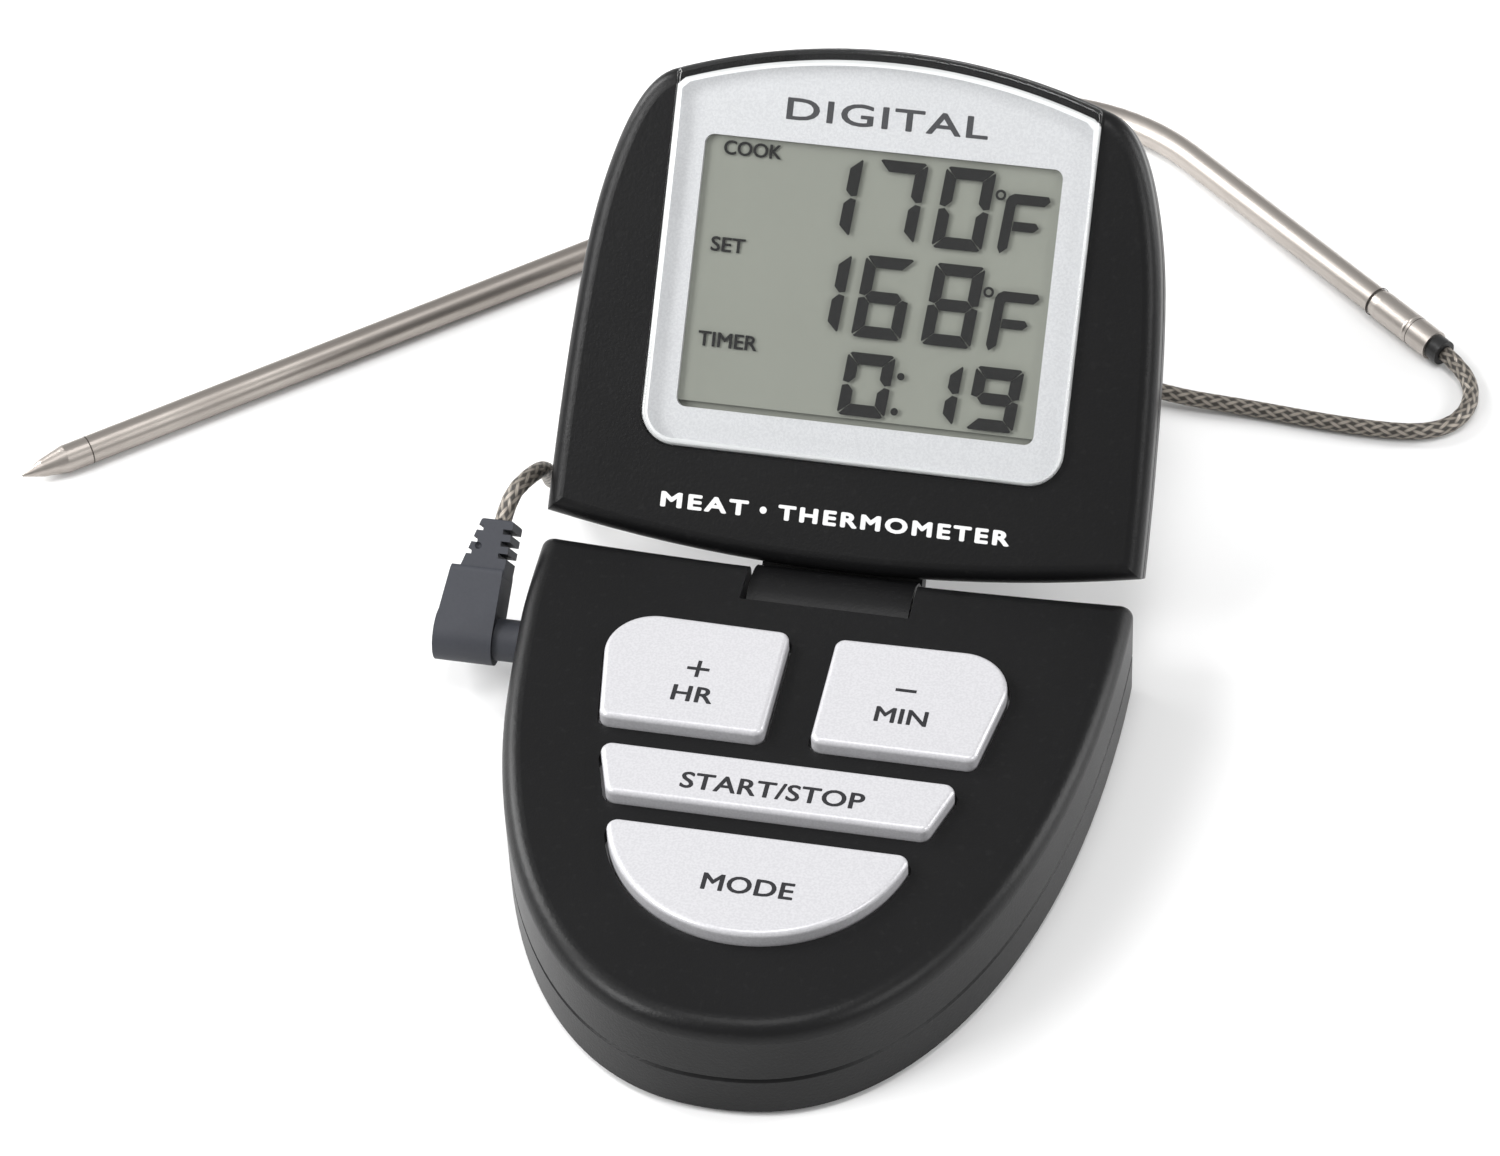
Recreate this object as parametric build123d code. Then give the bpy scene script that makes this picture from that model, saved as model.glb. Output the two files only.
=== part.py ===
from build123d import *
from math import atan2, cos, degrees, hypot, pi, radians, sin, tan
import os

# Probe thermometer with a tilting display head, a keypad base and a plug-in probe lead.
#
# Millimetres, +Z up. The origin is the centre of the base's underside, and -Y is the front.
# The head is drawn in its own frame, whose origin is the hinge axis: X along the pin, Y up the
# head, Z out of its face. head_part() tilts such a piece to the rest angle.

# ---- driving dimensions -------------------------------------------------------------------
# base
base_half_width = 37.8
base_length = 77.0
base_power = 2.25            # exponent of the superellipse that rounds the front of the base
base_wall = 1.8
top_wall = 1.9
floor_wall = 1.6
parting_height = 6.5         # where the two base shells meet
back_edge_dip = 1.0          # how much the back edge curves in behind the head's edge
back_corner = 1.2
edge_round = 2.4
parting_groove = 0.35
buzzer_y = -16.0

# hinge
barrel_radius = 6.9
barrel_lift = 0.7            # between the barrel and the table
hinge_z = barrel_radius + barrel_lift
barrel_half = 10.3
barrel_gap = 0.45            # round the barrel, in the base's pocket
key_back = 24.6              # the back edge of the hour and minute keys
flange_width = 0.9
pocket_gap = 0.15            # between a key's flange and the pocket's wall
hinge_y = key_back + flange_width + pocket_gap + base_wall + barrel_gap + barrel_radius
notch_front = 4.3            # from the hinge axis forward
notch_front_y = hinge_y - notch_front
back_edge = 3.7              # from the hinge axis back to the base's corners
back_edge_y = hinge_y + back_edge
pin_radius = 1.5
running_clearance = 0.05
pin_inner_x = 7.4
ear_thickness = 4.0
ear_drop = 4.1               # how far the ears reach below the pin's axis
cavity_radius = 4.3          # hollow middle of the barrel, where the ribbon passes
cavity_half = 3.6
tilt_rest = 46.5
tilt_lowest = 15.0
tilt_highest = 55.0

# head, from the hinge axis
face_rise = 2.4              # the front face, above the hinge axis
head_thickness = 10.0
head_parting = -2.6
head_wall = 1.8
head_foot_corner = (38.0, 10.7)
head_foot_middle = 7.2
head_side_points = [(37.8, 24.0), (36.9, 42.0), (34.6, 56.5)]
head_shoulder = (28.0, 67.9)
head_top = 72.9
head_round = 2.2

# display stack, all measured from the head's front face unless named otherwise
lens_half_width = 27.0
lens_bottom = 20.6
lens_rise = 1.4              # how far the lens stands proud of the face
lens_seat = 0.5              # how deep its edge sits in the face
lens_corner = 4.5
lens_top_corner = 1.0
lens_gap = 0.2
bezel_thickness = 0.9
bezel_rim = 1.8              # rim of the front shell above the bezel
bezel_side = 4.2             # silver border beside the window
window_half_width = lens_half_width - bezel_side
window_bottom = 25.7
window_top = 60.2
window_corner = 1.2
lcd_margin = 1.6             # glass beyond the window
lcd_thickness = 1.5
connector_inset = 2.8        # from the window's side to the strip's end
board_margin = 3.2           # of the head's board beyond the window
board_thickness = 1.0

# keys
key_gap = 0.35
key_rise = 1.8
flange_thickness = 0.8
flange_play = 0.2
key_round = 0.7
key_corner = 1.3
hour_key = [(-26.2, key_back), (-2.9, key_back - 0.4), (-2.9, 6.6), (-23.2, 6.6)]
hour_corner = 6.0
start_key = [(-22.2, 2.5), (22.2, 2.5), (19.6, -5.6), (-19.6, -5.6)]
mode_half_width = 18.6
mode_top = -9.6
mode_bottom = -25.2
hour_dome = (-13.4, 7.8)
start_dome = (0.0, -1.5)
mode_dome = (0.0, -15.5)

# battery bay, for one AAA cell
cell_radius = 5.25
cell_length = 43.7
cell_nub_radius = 1.9
cell_nub = 0.8
cell_y = 19.0
contact_thickness = 0.4
bay_half_length = 25.5
bay_clearance = 0.55
rib = 0.8
door_thickness = 0.9
door_recess = 0.1            # the door sits this far above the table
door_gap = 0.25
door_ledge = 1.0
cell_gap = 0.3               # between the cell and its door
cell_z = door_recess + door_thickness + cell_gap + cell_radius
cell_headroom = 1.8          # for the keys' flanges, above the cell
base_height = cell_z + cell_radius + cell_headroom + top_wall

# keypad circuit
dome_height = 2.7
stem_gap = 0.1               # how far a key's stem reaches below its flange
circuit_top = base_height - top_wall - flange_play - flange_thickness - stem_gap - dome_height
circuit_thickness = 1.0
circuit_gap = 0.4            # between the board and the battery bay
circuit_back = cell_y - cell_radius - bay_clearance - rib - circuit_gap
circuit_inset = 4.6
circuit_front = -25.8
membrane_thickness = 0.6
ribbon_half = 1.6
ribbon_thickness = 0.3
dome_base_radius = 3.2
dome_top_radius = 1.9

# probe jack and plug
jack_y = 26.0
jack_z = 7.5
plug_pin_radius = 1.25
plug_pin_length = 11.0
plug_tip_length = 3.0
insulator_length = 0.8
neck_radius = 2.7
neck_gap = 0.3
neck_entry = 0.8             # how far the neck enters the base's wall
plug_clear = 3.6             # between the base and the moulding
plug_width = 7.6
plug_inner_x = -(base_half_width + plug_clear)
plug_outer_x = plug_inner_x - plug_width
plug_lean = 37.0             # the moulding's angle above the table, about the pin
plug_body_length = 8.6
plug_half_thickness = 3.4
relief_length = 6.2
relief_slots = 3
jack_body = 8.6
jack_half_width = 3.4
jack_half_height = 3.9

# screws
screw_radius = 1.0
screw_head_radius = 2.0
screw_head_height = 1.3
post_radius = 2.6
base_screw_spots = [(31.0, 33.0), (-31.0, 33.0), (12.5, -31.0), (-12.5, -31.0)]
head_screw_spots = [(31.4, 20.5), (-31.4, 20.5), (31.0, 55.0), (-31.0, 55.0)]

# probe
rod_radius = 1.9
rod_wall = 0.3
rod_height = 2.05            # centre of the rod above the table, so that the sleeve rests on it
probe_point = (-112.3, 50.0)
probe_elbow = (10.7, 155.4)
probe_end = (68.05, 105.35)
elbow_radius = 30.0
tip_length = 9.6
tip_cone = 6.2
tip_blunt = 0.15
sleeve_length = 11.5
sleeve_radius = 2.05
seal_length = 2.0
seal_radius = 1.75
bead_radius = 1.1

# cord
cord_radius = 1.1
plug_cord_points = [
    (-42.45, 40.6, 18.5), (-41.0, 44.1, 18.6), (-40.2, 47.6, 17.0), (-40.2, 50.6, 13.9),
    (-41.1, 54.7, 8.4), (-42.0, 58.4, 4.3), (-41.9, 62.4, 1.9), (-41.0, 66.8, 1.2),
    (-38.4, 71.6, 1.2),
]
probe_cord_points = [
    (72.2, 102.0, 1.5), (73.9, 98.6, 1.2), (73.9, 94.8, 1.2), (72.1, 91.3, 1.2),
    (68.6, 89.3, 1.2), (63.2, 88.8, 1.2), (55.0, 89.2, 1.2), (45.5, 90.2, 1.2),
    (34.5, 90.3, 1.8), (24.0, 92.6, 2.8), (14.0, 95.2, 3.3),
]
coil_centre = (-5.0, 77.5)
coil_half_length = 35.0      # the outermost turn's own centre line
coil_half_width = 17.0
coil_turn = 15.0             # the coil's long axis, from X
coil_build = 6.0             # how far in the innermost turn lies
coil_height = 5.0


# ---- frames and outlines ------------------------------------------------------------------
def head_part(shape):
    """Carry a piece drawn from the hinge axis to its place on the tilted head."""
    tilt = Plane(
        origin=(0, hinge_y, hinge_z),
        x_dir=(1, 0, 0),
        z_dir=(0, -sin(radians(tilt_rest)), cos(radians(tilt_rest))),
    )
    return tilt.location * shape


def at_height(sketch, low, high):
    """Extrude a sketch drawn on XY from one height to another."""
    return extrude(Pos(0, 0, low) * sketch, amount=high - low, dir=(0, 0, 1))


def along_x(radius, start, end, y, z):
    """A round bar along X."""
    bar = Cylinder(radius, abs(end - start), rotation=(0, 90, 0))
    return Pos((start + end) / 2, y, z) * bar


def block(x, y, z):
    """A box given by its lowest and highest value on each axis."""
    sizes = [high - low for low, high in (x, y, z)]
    middle = [(high + low) / 2 for low, high in (x, y, z)]
    return Pos(*middle) * Box(*sizes)


def tongue(inset=0.0, dip=back_edge_dip):
    """The base's outline: a superellipse front and a back edge that curves in."""
    half, reach, back = base_half_width - inset, base_length - inset, back_edge_y - inset
    steps = 9

    def rim(i):
        angle = pi / 2 * i / steps
        x = half * cos(angle) ** (2 / base_power)
        return x, back_edge_y - reach * sin(angle) ** (2 / base_power)

    right = [rim(i) for i in range(1, steps + 1)]
    left = [(-x, y) for x, y in reversed(right[:-1])]
    side = Spline(
        (half, back - 3), *right, *left, (-half, back - 3), tangents=((0, -1), (0, 1))
    )
    corners = [Line((half, back), (half, back - 3)), Line((-half, back - 3), (-half, back))]
    rear = ThreePointArc((-half, back), (0, back - dip), (half, back))
    sketch = make_face(Curve() + [side, *corners, rear])
    return fillet(sketch.vertices().sort_by(Axis.Y)[-2:], back_corner)


def polygon_key(points, corners):
    """A key outline with one radius for each corner."""
    sketch = make_face(Polyline(*points, close=True))
    for (x, y), radius in zip(points, corners):
        corner = sketch.vertices().sort_by_distance((x, y, 0))[0]
        sketch = fillet(corner, radius)
    return sketch


def key_outlines():
    """The four keys' outlines, by name."""
    hour = polygon_key(hour_key, [hour_corner, key_corner, key_corner, key_corner])
    start = polygon_key(start_key, [key_corner] * 4)
    straight = Line((-mode_half_width, mode_top), (mode_half_width, mode_top))
    bow = ThreePointArc((mode_half_width, mode_top), (0, mode_bottom), (-mode_half_width, mode_top))
    moon = make_face(Curve() + [straight, bow])
    moon = fillet(moon.vertices(), key_corner)
    return {"hour": hour, "minute": mirror(hour, Plane.YZ), "start_stop": start, "mode": moon}


key_domes = {
    "hour": hour_dome,
    "minute": (-hour_dome[0], hour_dome[1]),
    "start_stop": start_dome,
    "mode": mode_dome,
}


# ---- base ---------------------------------------------------------------------------------
def hinge_pocket(outer_radius, side):
    """The base's room round the barrel, a cylinder that opens upwards, backwards and down."""
    cavity = along_x(outer_radius, -side, side, hinge_y, hinge_z)
    front = notch_front_y - (outer_radius - barrel_radius - barrel_gap)
    return cavity + block((-side, side), (front, back_edge_y + 5), (-5, base_height + 5))


def pocket_wall(low, high):
    """The wall between the hinge pocket and the inside of the base."""
    side = barrel_half + barrel_gap + base_wall
    wall = hinge_pocket(barrel_radius + barrel_gap + base_wall, side)
    inside = at_height(tongue(base_wall / 2), low, high)
    return wall & inside


def jack_hole():
    """The round way through the base's left wall for the plug's neck."""
    return along_x(neck_radius + neck_gap, -base_half_width - 5, jack_face_x(), jack_y, jack_z)


def wall_x(y):
    """Outer half width of the base at a given y, on the superellipse."""
    share = (back_edge_y - y) / base_length
    return base_half_width * (1 - share ** base_power) ** (1 / base_power)


def jack_face_x():
    """Where the jack's body starts, just inside the base's left wall."""
    return -wall_x(jack_y - jack_half_width) + base_wall + 0.5


def screw_columns(radius, low, high, spots):
    """Round columns at the screw places."""
    columns = [Pos(x, y, (low + high) / 2) * Cylinder(radius, high - low) for x, y in spots]
    return Part() + columns


def door_outline(margin):
    """The battery door's outline, grown by a margin."""
    width = 2 * (bay_half_length + margin)
    depth = 2 * (cell_radius + bay_clearance + margin)
    return Pos(0, cell_y) * RectangleRounded(width, depth, 1.0 + margin)


def base_lower_shell():
    shell = at_height(tongue(), 0, parting_height)
    bottom_edges = shell.faces().sort_by(Axis.Z)[0].edges()
    shell = chamfer(bottom_edges, 0.9)
    groove_edges = shell.faces().sort_by(Axis.Z)[-1].edges()
    shell = chamfer(groove_edges, parting_groove)
    shell -= at_height(tongue(base_wall), floor_wall, parting_height + 1)
    shell += pocket_wall(0, parting_height)
    bay = door_outline(rib) - door_outline(0)
    shell += at_height(bay, floor_wall / 2, parting_height - 0.5)
    shell += screw_columns(post_radius, floor_wall / 2, parting_height - 0.1, base_screw_spots)
    shell -= hinge_pocket(barrel_radius + barrel_gap, barrel_half + barrel_gap)
    ears = barrel_half + barrel_gap + ear_thickness + 0.3
    low = hinge_z - ear_drop - 0.3
    shell -= block((-ears, ears), (notch_front_y - 0.6, back_edge_y - base_wall), (low, base_height))
    shell -= at_height(door_outline(0), -1, floor_wall + 1)
    shell -= at_height(door_outline(door_ledge), -1, door_recess + door_thickness)
    shell -= screw_columns(screw_radius + 0.2, -1, parting_height, base_screw_spots)
    head_room = screw_head_height + 0.8
    shell -= screw_columns(screw_head_radius + 0.2, -1, head_room, base_screw_spots)
    for x in (-3.0, 0.0, 3.0):
        shell -= Pos(x, buzzer_y, 0) * Cylinder(0.75, 2 * floor_wall + 1)
    return shell - jack_hole()


def base_upper_shell():
    shell = at_height(tongue(), parting_height, base_height)
    shell = fillet(shell.faces().sort_by(Axis.Z)[-1].edges(), edge_round)
    groove_edges = shell.faces().sort_by(Axis.Z)[0].edges()
    shell = chamfer(groove_edges, parting_groove)
    shell -= at_height(tongue(base_wall), parting_height - 1, base_height - top_wall)
    shell += pocket_wall(parting_height, base_height - 0.5)
    ear_side = barrel_half + barrel_gap
    for side in (-1, 1):
        x = sorted((side * ear_side, side * (ear_side + ear_thickness)))
        ear_back = back_edge_y - back_edge_dip - base_wall / 2
        top = base_height - top_wall / 2
        shell += block(x, (notch_front_y - 0.3, ear_back), (hinge_z - ear_drop, top))
    post_top = base_height - top_wall / 2
    shell += screw_columns(post_radius, parting_height + 0.1, post_top, base_screw_spots)
    shell -= hinge_pocket(barrel_radius + barrel_gap, ear_side)
    pin_reach = ear_side + ear_thickness + 1
    shell -= along_x(pin_radius, -pin_reach, pin_reach, hinge_y, hinge_z)
    screw_tip = parting_height + 5.0
    shell -= screw_columns(screw_radius, parting_height - 1, screw_tip, base_screw_spots)
    for outline in key_outlines().values():
        hole = offset(outline, key_gap, kind=Kind.ARC)
        shell -= at_height(hole, base_height - top_wall - 1, base_height + 1)
    way_start = hinge_y - barrel_radius - barrel_gap - base_wall - 0.85
    ribbon_way = block((-cavity_half, cavity_half), (way_start, hinge_y), (hinge_z - 1.0, hinge_z + 0.7))
    return shell - ribbon_way - jack_hole()


def base_screws():
    shanks = screw_columns(screw_radius, 0.8, parting_height + 4.6, base_screw_spots)
    heads = screw_columns(screw_head_radius, 0.8, 0.8 + screw_head_height, base_screw_spots)
    slots = [Pos(x, y, 0.8) * Box(2.6, 0.6, 1.0) for x, y in base_screw_spots]
    return shanks + heads - (Part() + slots)


def hinge_pins():
    ear_end = barrel_half + barrel_gap + ear_thickness - 0.2
    right = along_x(pin_radius, pin_inner_x + 0.2, ear_end, hinge_y, hinge_z)
    left = along_x(pin_radius, -ear_end, -pin_inner_x - 0.2, hinge_y, hinge_z)
    return Part() + [right, left]


def battery_door():
    low, high = door_recess, door_recess + door_thickness - 0.1
    plate = at_height(door_outline(door_ledge - door_gap), low, high)
    tongue_block = block((-5, 5), (cell_y - 5.3, cell_y - 4.7), (high - 0.2, high + 1.4))
    grips = [Pos(0, cell_y + y, low) * Box(9, 0.5, 0.5) for y in (-1.2, 0, 1.2)]
    return plate + tongue_block - (Part() + grips)


def battery_cell():
    can = along_x(cell_radius, -cell_length / 2, cell_length / 2, cell_y, cell_z)
    can = fillet(can.edges().filter_by(GeomType.CIRCLE), 0.5)
    end = cell_length / 2 + cell_nub
    return can + along_x(cell_nub_radius, cell_length / 2 - 0.5, end, cell_y, cell_z)


def battery_contacts():
    """A flat plate at the nub and a folded leaf spring at the other end."""
    right = cell_length / 2 + cell_nub
    z = (floor_wall + 0.4, 11.0)
    y = (cell_y - 3.4, cell_y + 3.4)
    plate = block((right, right + contact_thickness), y, z)
    left = -cell_length / 2
    outer = -bay_half_length + 0.3
    leaf = block((outer, outer + contact_thickness), y, z)
    fold = block((outer, left), y, (z[1] - contact_thickness, z[1]))
    tongue_leaf = block((left - contact_thickness, left), y, (z[0] + 3, z[1]))
    return Part() + [plate, leaf + fold + tongue_leaf]


def circuit_outline(inset):
    """The keypad circuit's outline, clear of the posts and the battery."""
    middle = (circuit_front + circuit_back) / 2
    band = Pos(0, middle) * Rectangle(90, circuit_back - circuit_front - 2 * inset)
    return tongue(circuit_inset + inset) & band


def key_circuit_board():
    low = circuit_top - circuit_thickness
    return at_height(circuit_outline(0), low, circuit_top)


def key_membrane():
    sheet = at_height(circuit_outline(0.6), circuit_top, circuit_top + membrane_thickness)
    for x, y in key_domes.values():
        sheet -= Pos(x, y, circuit_top) * Cylinder(dome_base_radius, 4)
    return sheet


def stem_bottom():
    """The underside of the keys' stems, which the domes touch."""
    return base_height - top_wall - flange_play - flange_thickness - stem_gap


def key_dome(name):
    x, y = key_domes[name]
    height = stem_bottom() - circuit_top
    dome = Cone(dome_base_radius, dome_top_radius, height)
    hollow = Cone(dome_base_radius - 0.6, dome_top_radius - 0.6, height - 0.8)
    shape = Pos(0, 0, height / 2) * dome - Pos(0, 0, (height - 0.8) / 2) * hollow
    return Pos(x, y, circuit_top) * shape


def key_cap(name, outline):
    """A key: rounded cap, a flange under the shell and a stem over its dome."""
    top = base_height + key_rise
    flange_top = base_height - top_wall - flange_play
    cap = at_height(outline, flange_top - 0.1, top)
    cap = fillet(cap.faces().sort_by(Axis.Z)[-1].edges(), key_round)
    flange = offset(outline, flange_width, kind=Kind.ARC)
    cap += at_height(flange, flange_top - flange_thickness, flange_top)
    x, y = key_domes[name]
    stem_top = flange_top - flange_thickness + 0.1
    height = stem_top - stem_bottom()
    return cap + Pos(x, y, stem_bottom() + height / 2) * Cylinder(1.7, height)


def buzzer():
    cup = Cylinder(6.5, 3.4) - Pos(0, 0, -0.6) * Cylinder(5.7, 3.4)
    return Pos(0, buzzer_y, floor_wall + 1.7) * cup


def buzzer_disc():
    brass = Cylinder(5.6, 0.25)
    ceramic = Pos(0, 0, 0.25) * Cylinder(4.2, 0.25)
    return Pos(0, buzzer_y, floor_wall + 1.1) * (brass + ceramic)


def probe_jack():
    start = jack_face_x()
    y = (jack_y - jack_half_width, jack_y + jack_half_width)
    z = (jack_z - jack_half_height, jack_z + jack_half_height)
    body = block((start, start + jack_body), y, z)
    bore = along_x(plug_pin_radius + running_clearance, start - 1, start + jack_body + 1, jack_y, jack_z)
    return body - bore


def base_ribbon():
    """Flat ribbon from the keypad board, over the battery and down into the hinge barrel."""
    half = ribbon_half
    t = ribbon_thickness
    start, drop = circuit_back - 0.5, cell_y + cell_radius + 1.0
    over = cell_z + cell_radius + 0.4
    rise = block((-half, half), (start, start + t), (circuit_top, over + t))
    run = block((-half, half), (start, drop + t), (over, over + t))
    fall = block((-half, half), (drop, drop + t), (hinge_z - t, over + t))
    entry = block((-half, half), (drop, hinge_y - 0.5), (hinge_z - t, hinge_z))
    return rise + run + fall + entry


# ---- head ---------------------------------------------------------------------------------
def head_outline(inset=0.0):
    """The head's outline: bowed foot, slightly tapering sides, shoulders and arched top."""
    corner_x, corner_y = head_foot_corner
    corner = (corner_x - inset, corner_y + inset)
    sides = [(x - inset, y) for x, y in head_side_points]
    shoulder = (head_shoulder[0] - 0.8 * inset, head_shoulder[1] - 0.7 * inset)
    top = (0, head_top - inset)
    foot = ThreePointArc((-corner[0], corner[1]), (0, head_foot_middle + inset), corner)
    arch = ThreePointArc(shoulder, top, (-shoulder[0], shoulder[1]))
    right = Spline(corner, *sides, shoulder, tangents=((0, 1), (-0.92, 0.39)))
    left = mirror(right, Plane.YZ)
    return make_face(Curve() + [foot, right, arch, left])


def lens_outline(inset=0.0, top_inset=0.0):
    """The lens's outline: straight sides and foot, and the head's own arch at the top."""
    half, bottom = lens_half_width - inset, lens_bottom + inset
    box = Pos(0, (bottom + head_top + 5) / 2) * Rectangle(2 * half, head_top + 5 - bottom)
    lower = box.vertices().sort_by(Axis.Y)[:2]
    sketch = fillet(lower, max(lens_corner - inset, 0.5)) & head_outline(top_inset)
    return fillet(sketch.vertices().sort_by(Axis.Y)[-2:], lens_top_corner)


def window_outline(margin=0.0, corner=window_corner):
    height = window_top - window_bottom + 2 * margin
    middle = (window_top + window_bottom) / 2
    return Pos(0, middle) * RectangleRounded(2 * (window_half_width + margin), height, corner)


def lens_floor():
    return face_rise - lens_seat


def bezel_floor():
    return lens_floor() - bezel_thickness


def head_front_shell():
    shell = at_height(head_outline(), head_parting, face_rise)
    shell = fillet(shell.faces().sort_by(Axis.Z)[-1].edges(), head_round)
    shell = chamfer(shell.faces().sort_by(Axis.Z)[0].edges(), parting_groove)
    shell -= at_height(head_outline(head_wall), head_parting - 1, face_rise - head_wall)
    floor_plate = at_height(lens_outline(-1.0, head_wall / 2), bezel_floor() - 1.0, face_rise - 0.8)
    shell += floor_plate
    posts = screw_columns(2.2, head_parting, face_rise - head_wall / 2, head_screw_spots)
    shell += posts
    shell -= at_height(lens_outline(-lens_gap, -1), lens_floor(), face_rise + 5)
    shell -= at_height(lens_outline(0.2, bezel_rim), bezel_floor(), face_rise + 5)
    shell -= at_height(window_outline(lcd_margin + 0.2), head_parting - 1, face_rise + 5)
    shell -= screw_columns(screw_radius, head_parting - 1, face_rise - 1.6, head_screw_spots)
    shell -= along_x(barrel_radius + 0.2, -barrel_half - 0.5, barrel_half + 0.5, 0, 0)
    return shell


def head_rear_shell():
    back = face_rise - head_thickness
    shell = at_height(head_outline(), back, head_parting)
    shell = fillet(shell.faces().sort_by(Axis.Z)[0].edges(), head_round)
    shell = chamfer(shell.faces().sort_by(Axis.Z)[-1].edges(), parting_groove)
    shell -= at_height(head_outline(head_wall), back + head_wall, head_parting + 1)
    posts = screw_columns(2.6, back + head_wall / 2, head_parting, head_screw_spots)
    shell += posts
    barrel = along_x(barrel_radius, -barrel_half, barrel_half, 0, 0)
    neck_top = head_foot_middle + head_wall
    neck = block((-barrel_half, barrel_half), (0, neck_top), (-barrel_radius + 0.5, head_parting - 0.4))
    shell += barrel + neck
    cavity = along_x(cavity_radius, -cavity_half, cavity_half, 0, 0)
    way_in = block((-cavity_half, cavity_half), (0, neck_top + 2), (-5.6, -3.8))
    pins = along_x(pin_radius + running_clearance, -barrel_half - 1, -pin_inner_x, 0, 0)
    pins += along_x(pin_radius + running_clearance, pin_inner_x, barrel_half + 1, 0, 0)
    shell = shell - cavity - way_in - pins - ribbon_slot()
    shell -= screw_columns(screw_radius + 0.2, back - 1, head_parting + 1, head_screw_spots)
    shell -= screw_columns(screw_head_radius + 0.2, back - 1, back + 2.2, head_screw_spots)
    return shell


def ribbon_slot():
    """The barrel's window towards the base, wide enough for the whole tilt."""
    spread = 9.0
    start = 180 - tilt_rest - (tilt_highest - tilt_rest) - spread
    end = 180 - tilt_rest + (tilt_rest - tilt_lowest) + spread
    reach = 3 * barrel_radius
    points = [(0, 0)] + [
        (reach * cos(radians(a)), reach * sin(radians(a))) for a in (start, (start + end) / 2, end)
    ]
    wedge = make_face(Polyline(*points, close=True))
    solid = extrude(wedge, amount=cavity_half, both=True)
    return Rot(0, 90, 0) * Rot(0, 0, 90) * solid


def head_screws():
    back = face_rise - head_thickness
    seat = back + 2.2 - screw_head_height
    shanks = screw_columns(screw_radius, seat, face_rise - 2.0, head_screw_spots)
    heads = screw_columns(screw_head_radius, seat, seat + screw_head_height, head_screw_spots)
    slots = [Pos(x, y, seat) * Box(2.6, 0.6, 1.0) for x, y in head_screw_spots]
    return shanks + heads - (Part() + slots)


def display_bezel():
    plate = lens_outline(0.4, bezel_rim + 0.2) - window_outline()
    return at_height(plate, bezel_floor(), lens_floor() - 0.05)


def display_lens():
    lens = at_height(lens_outline(0, 0.3), lens_floor(), face_rise + lens_rise)
    return fillet(lens.faces().sort_by(Axis.Z)[-1].edges(), 0.7)


def lcd_panel():
    """Two sheets of glass, of which the back one has a contact ledge along its foot."""
    top = bezel_floor() - 0.05
    low = top - lcd_thickness
    glass = at_height(window_outline(lcd_margin), low, top)
    width = window_half_width + lcd_margin
    foot = window_bottom - lcd_margin
    ledge = block((-width - 1, width + 1), (foot - 1, foot + 2.4), (low + lcd_thickness / 2, top + 1))
    return glass - ledge


def lcd_holder():
    """Plastic frame that presses the glass against the front shell."""
    top = bezel_floor() - 0.05 - lcd_thickness
    frame = window_outline(lcd_margin + 1.6, 0.8) - window_outline(-2.0, 0.8)
    return at_height(frame, top - 0.8, top)


def board_top():
    return bezel_floor() - 0.05 - lcd_thickness - 0.8


def lcd_connector():
    """Conductive rubber strip between the glass and the board."""
    half = window_half_width - connector_inset
    strip = block((-half, half), (window_bottom + 2.4, window_bottom + 4.0), (0, 0.8))
    return Pos(0, 0, board_top()) * strip


def head_circuit_board():
    height = window_top - window_bottom + 4
    width = 2 * (window_half_width + board_margin)
    board = Pos(0, (window_top + window_bottom) / 2) * RectangleRounded(width, height, 1.5)
    return at_height(board, board_top() - board_thickness, board_top())


def display_driver():
    """Black blob of resin over the chip on the board's back."""
    under = board_top() - board_thickness
    blob = Cylinder(4.5, 0.9)
    return Pos(0, 43.0, under - 0.45) * fillet(blob.faces().sort_by(Axis.Z)[0].edges(), 0.6)


def head_ribbon():
    """Flat ribbon from the barrel to the display board."""
    half = ribbon_half
    t = ribbon_thickness
    under = board_top() - board_thickness
    foot = window_bottom + 2.7
    lead = block((-half, half), (0.2, 0.2 + t), (-4.9, -0.4))
    run = block((-half, half), (0.2, foot + t), (-4.9, -4.9 + t))
    rise = block((-half, half), (foot, foot + t), (-4.9, under))
    return lead + run + rise


# ---- probe lead ---------------------------------------------------------------------------
def plug_frame(shape):
    """Carry a piece drawn along +Y from the pin's axis to the leaning plug."""
    return Pos(0, jack_y, jack_z) * Rot(plug_lean, 0, 0) * shape


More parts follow.
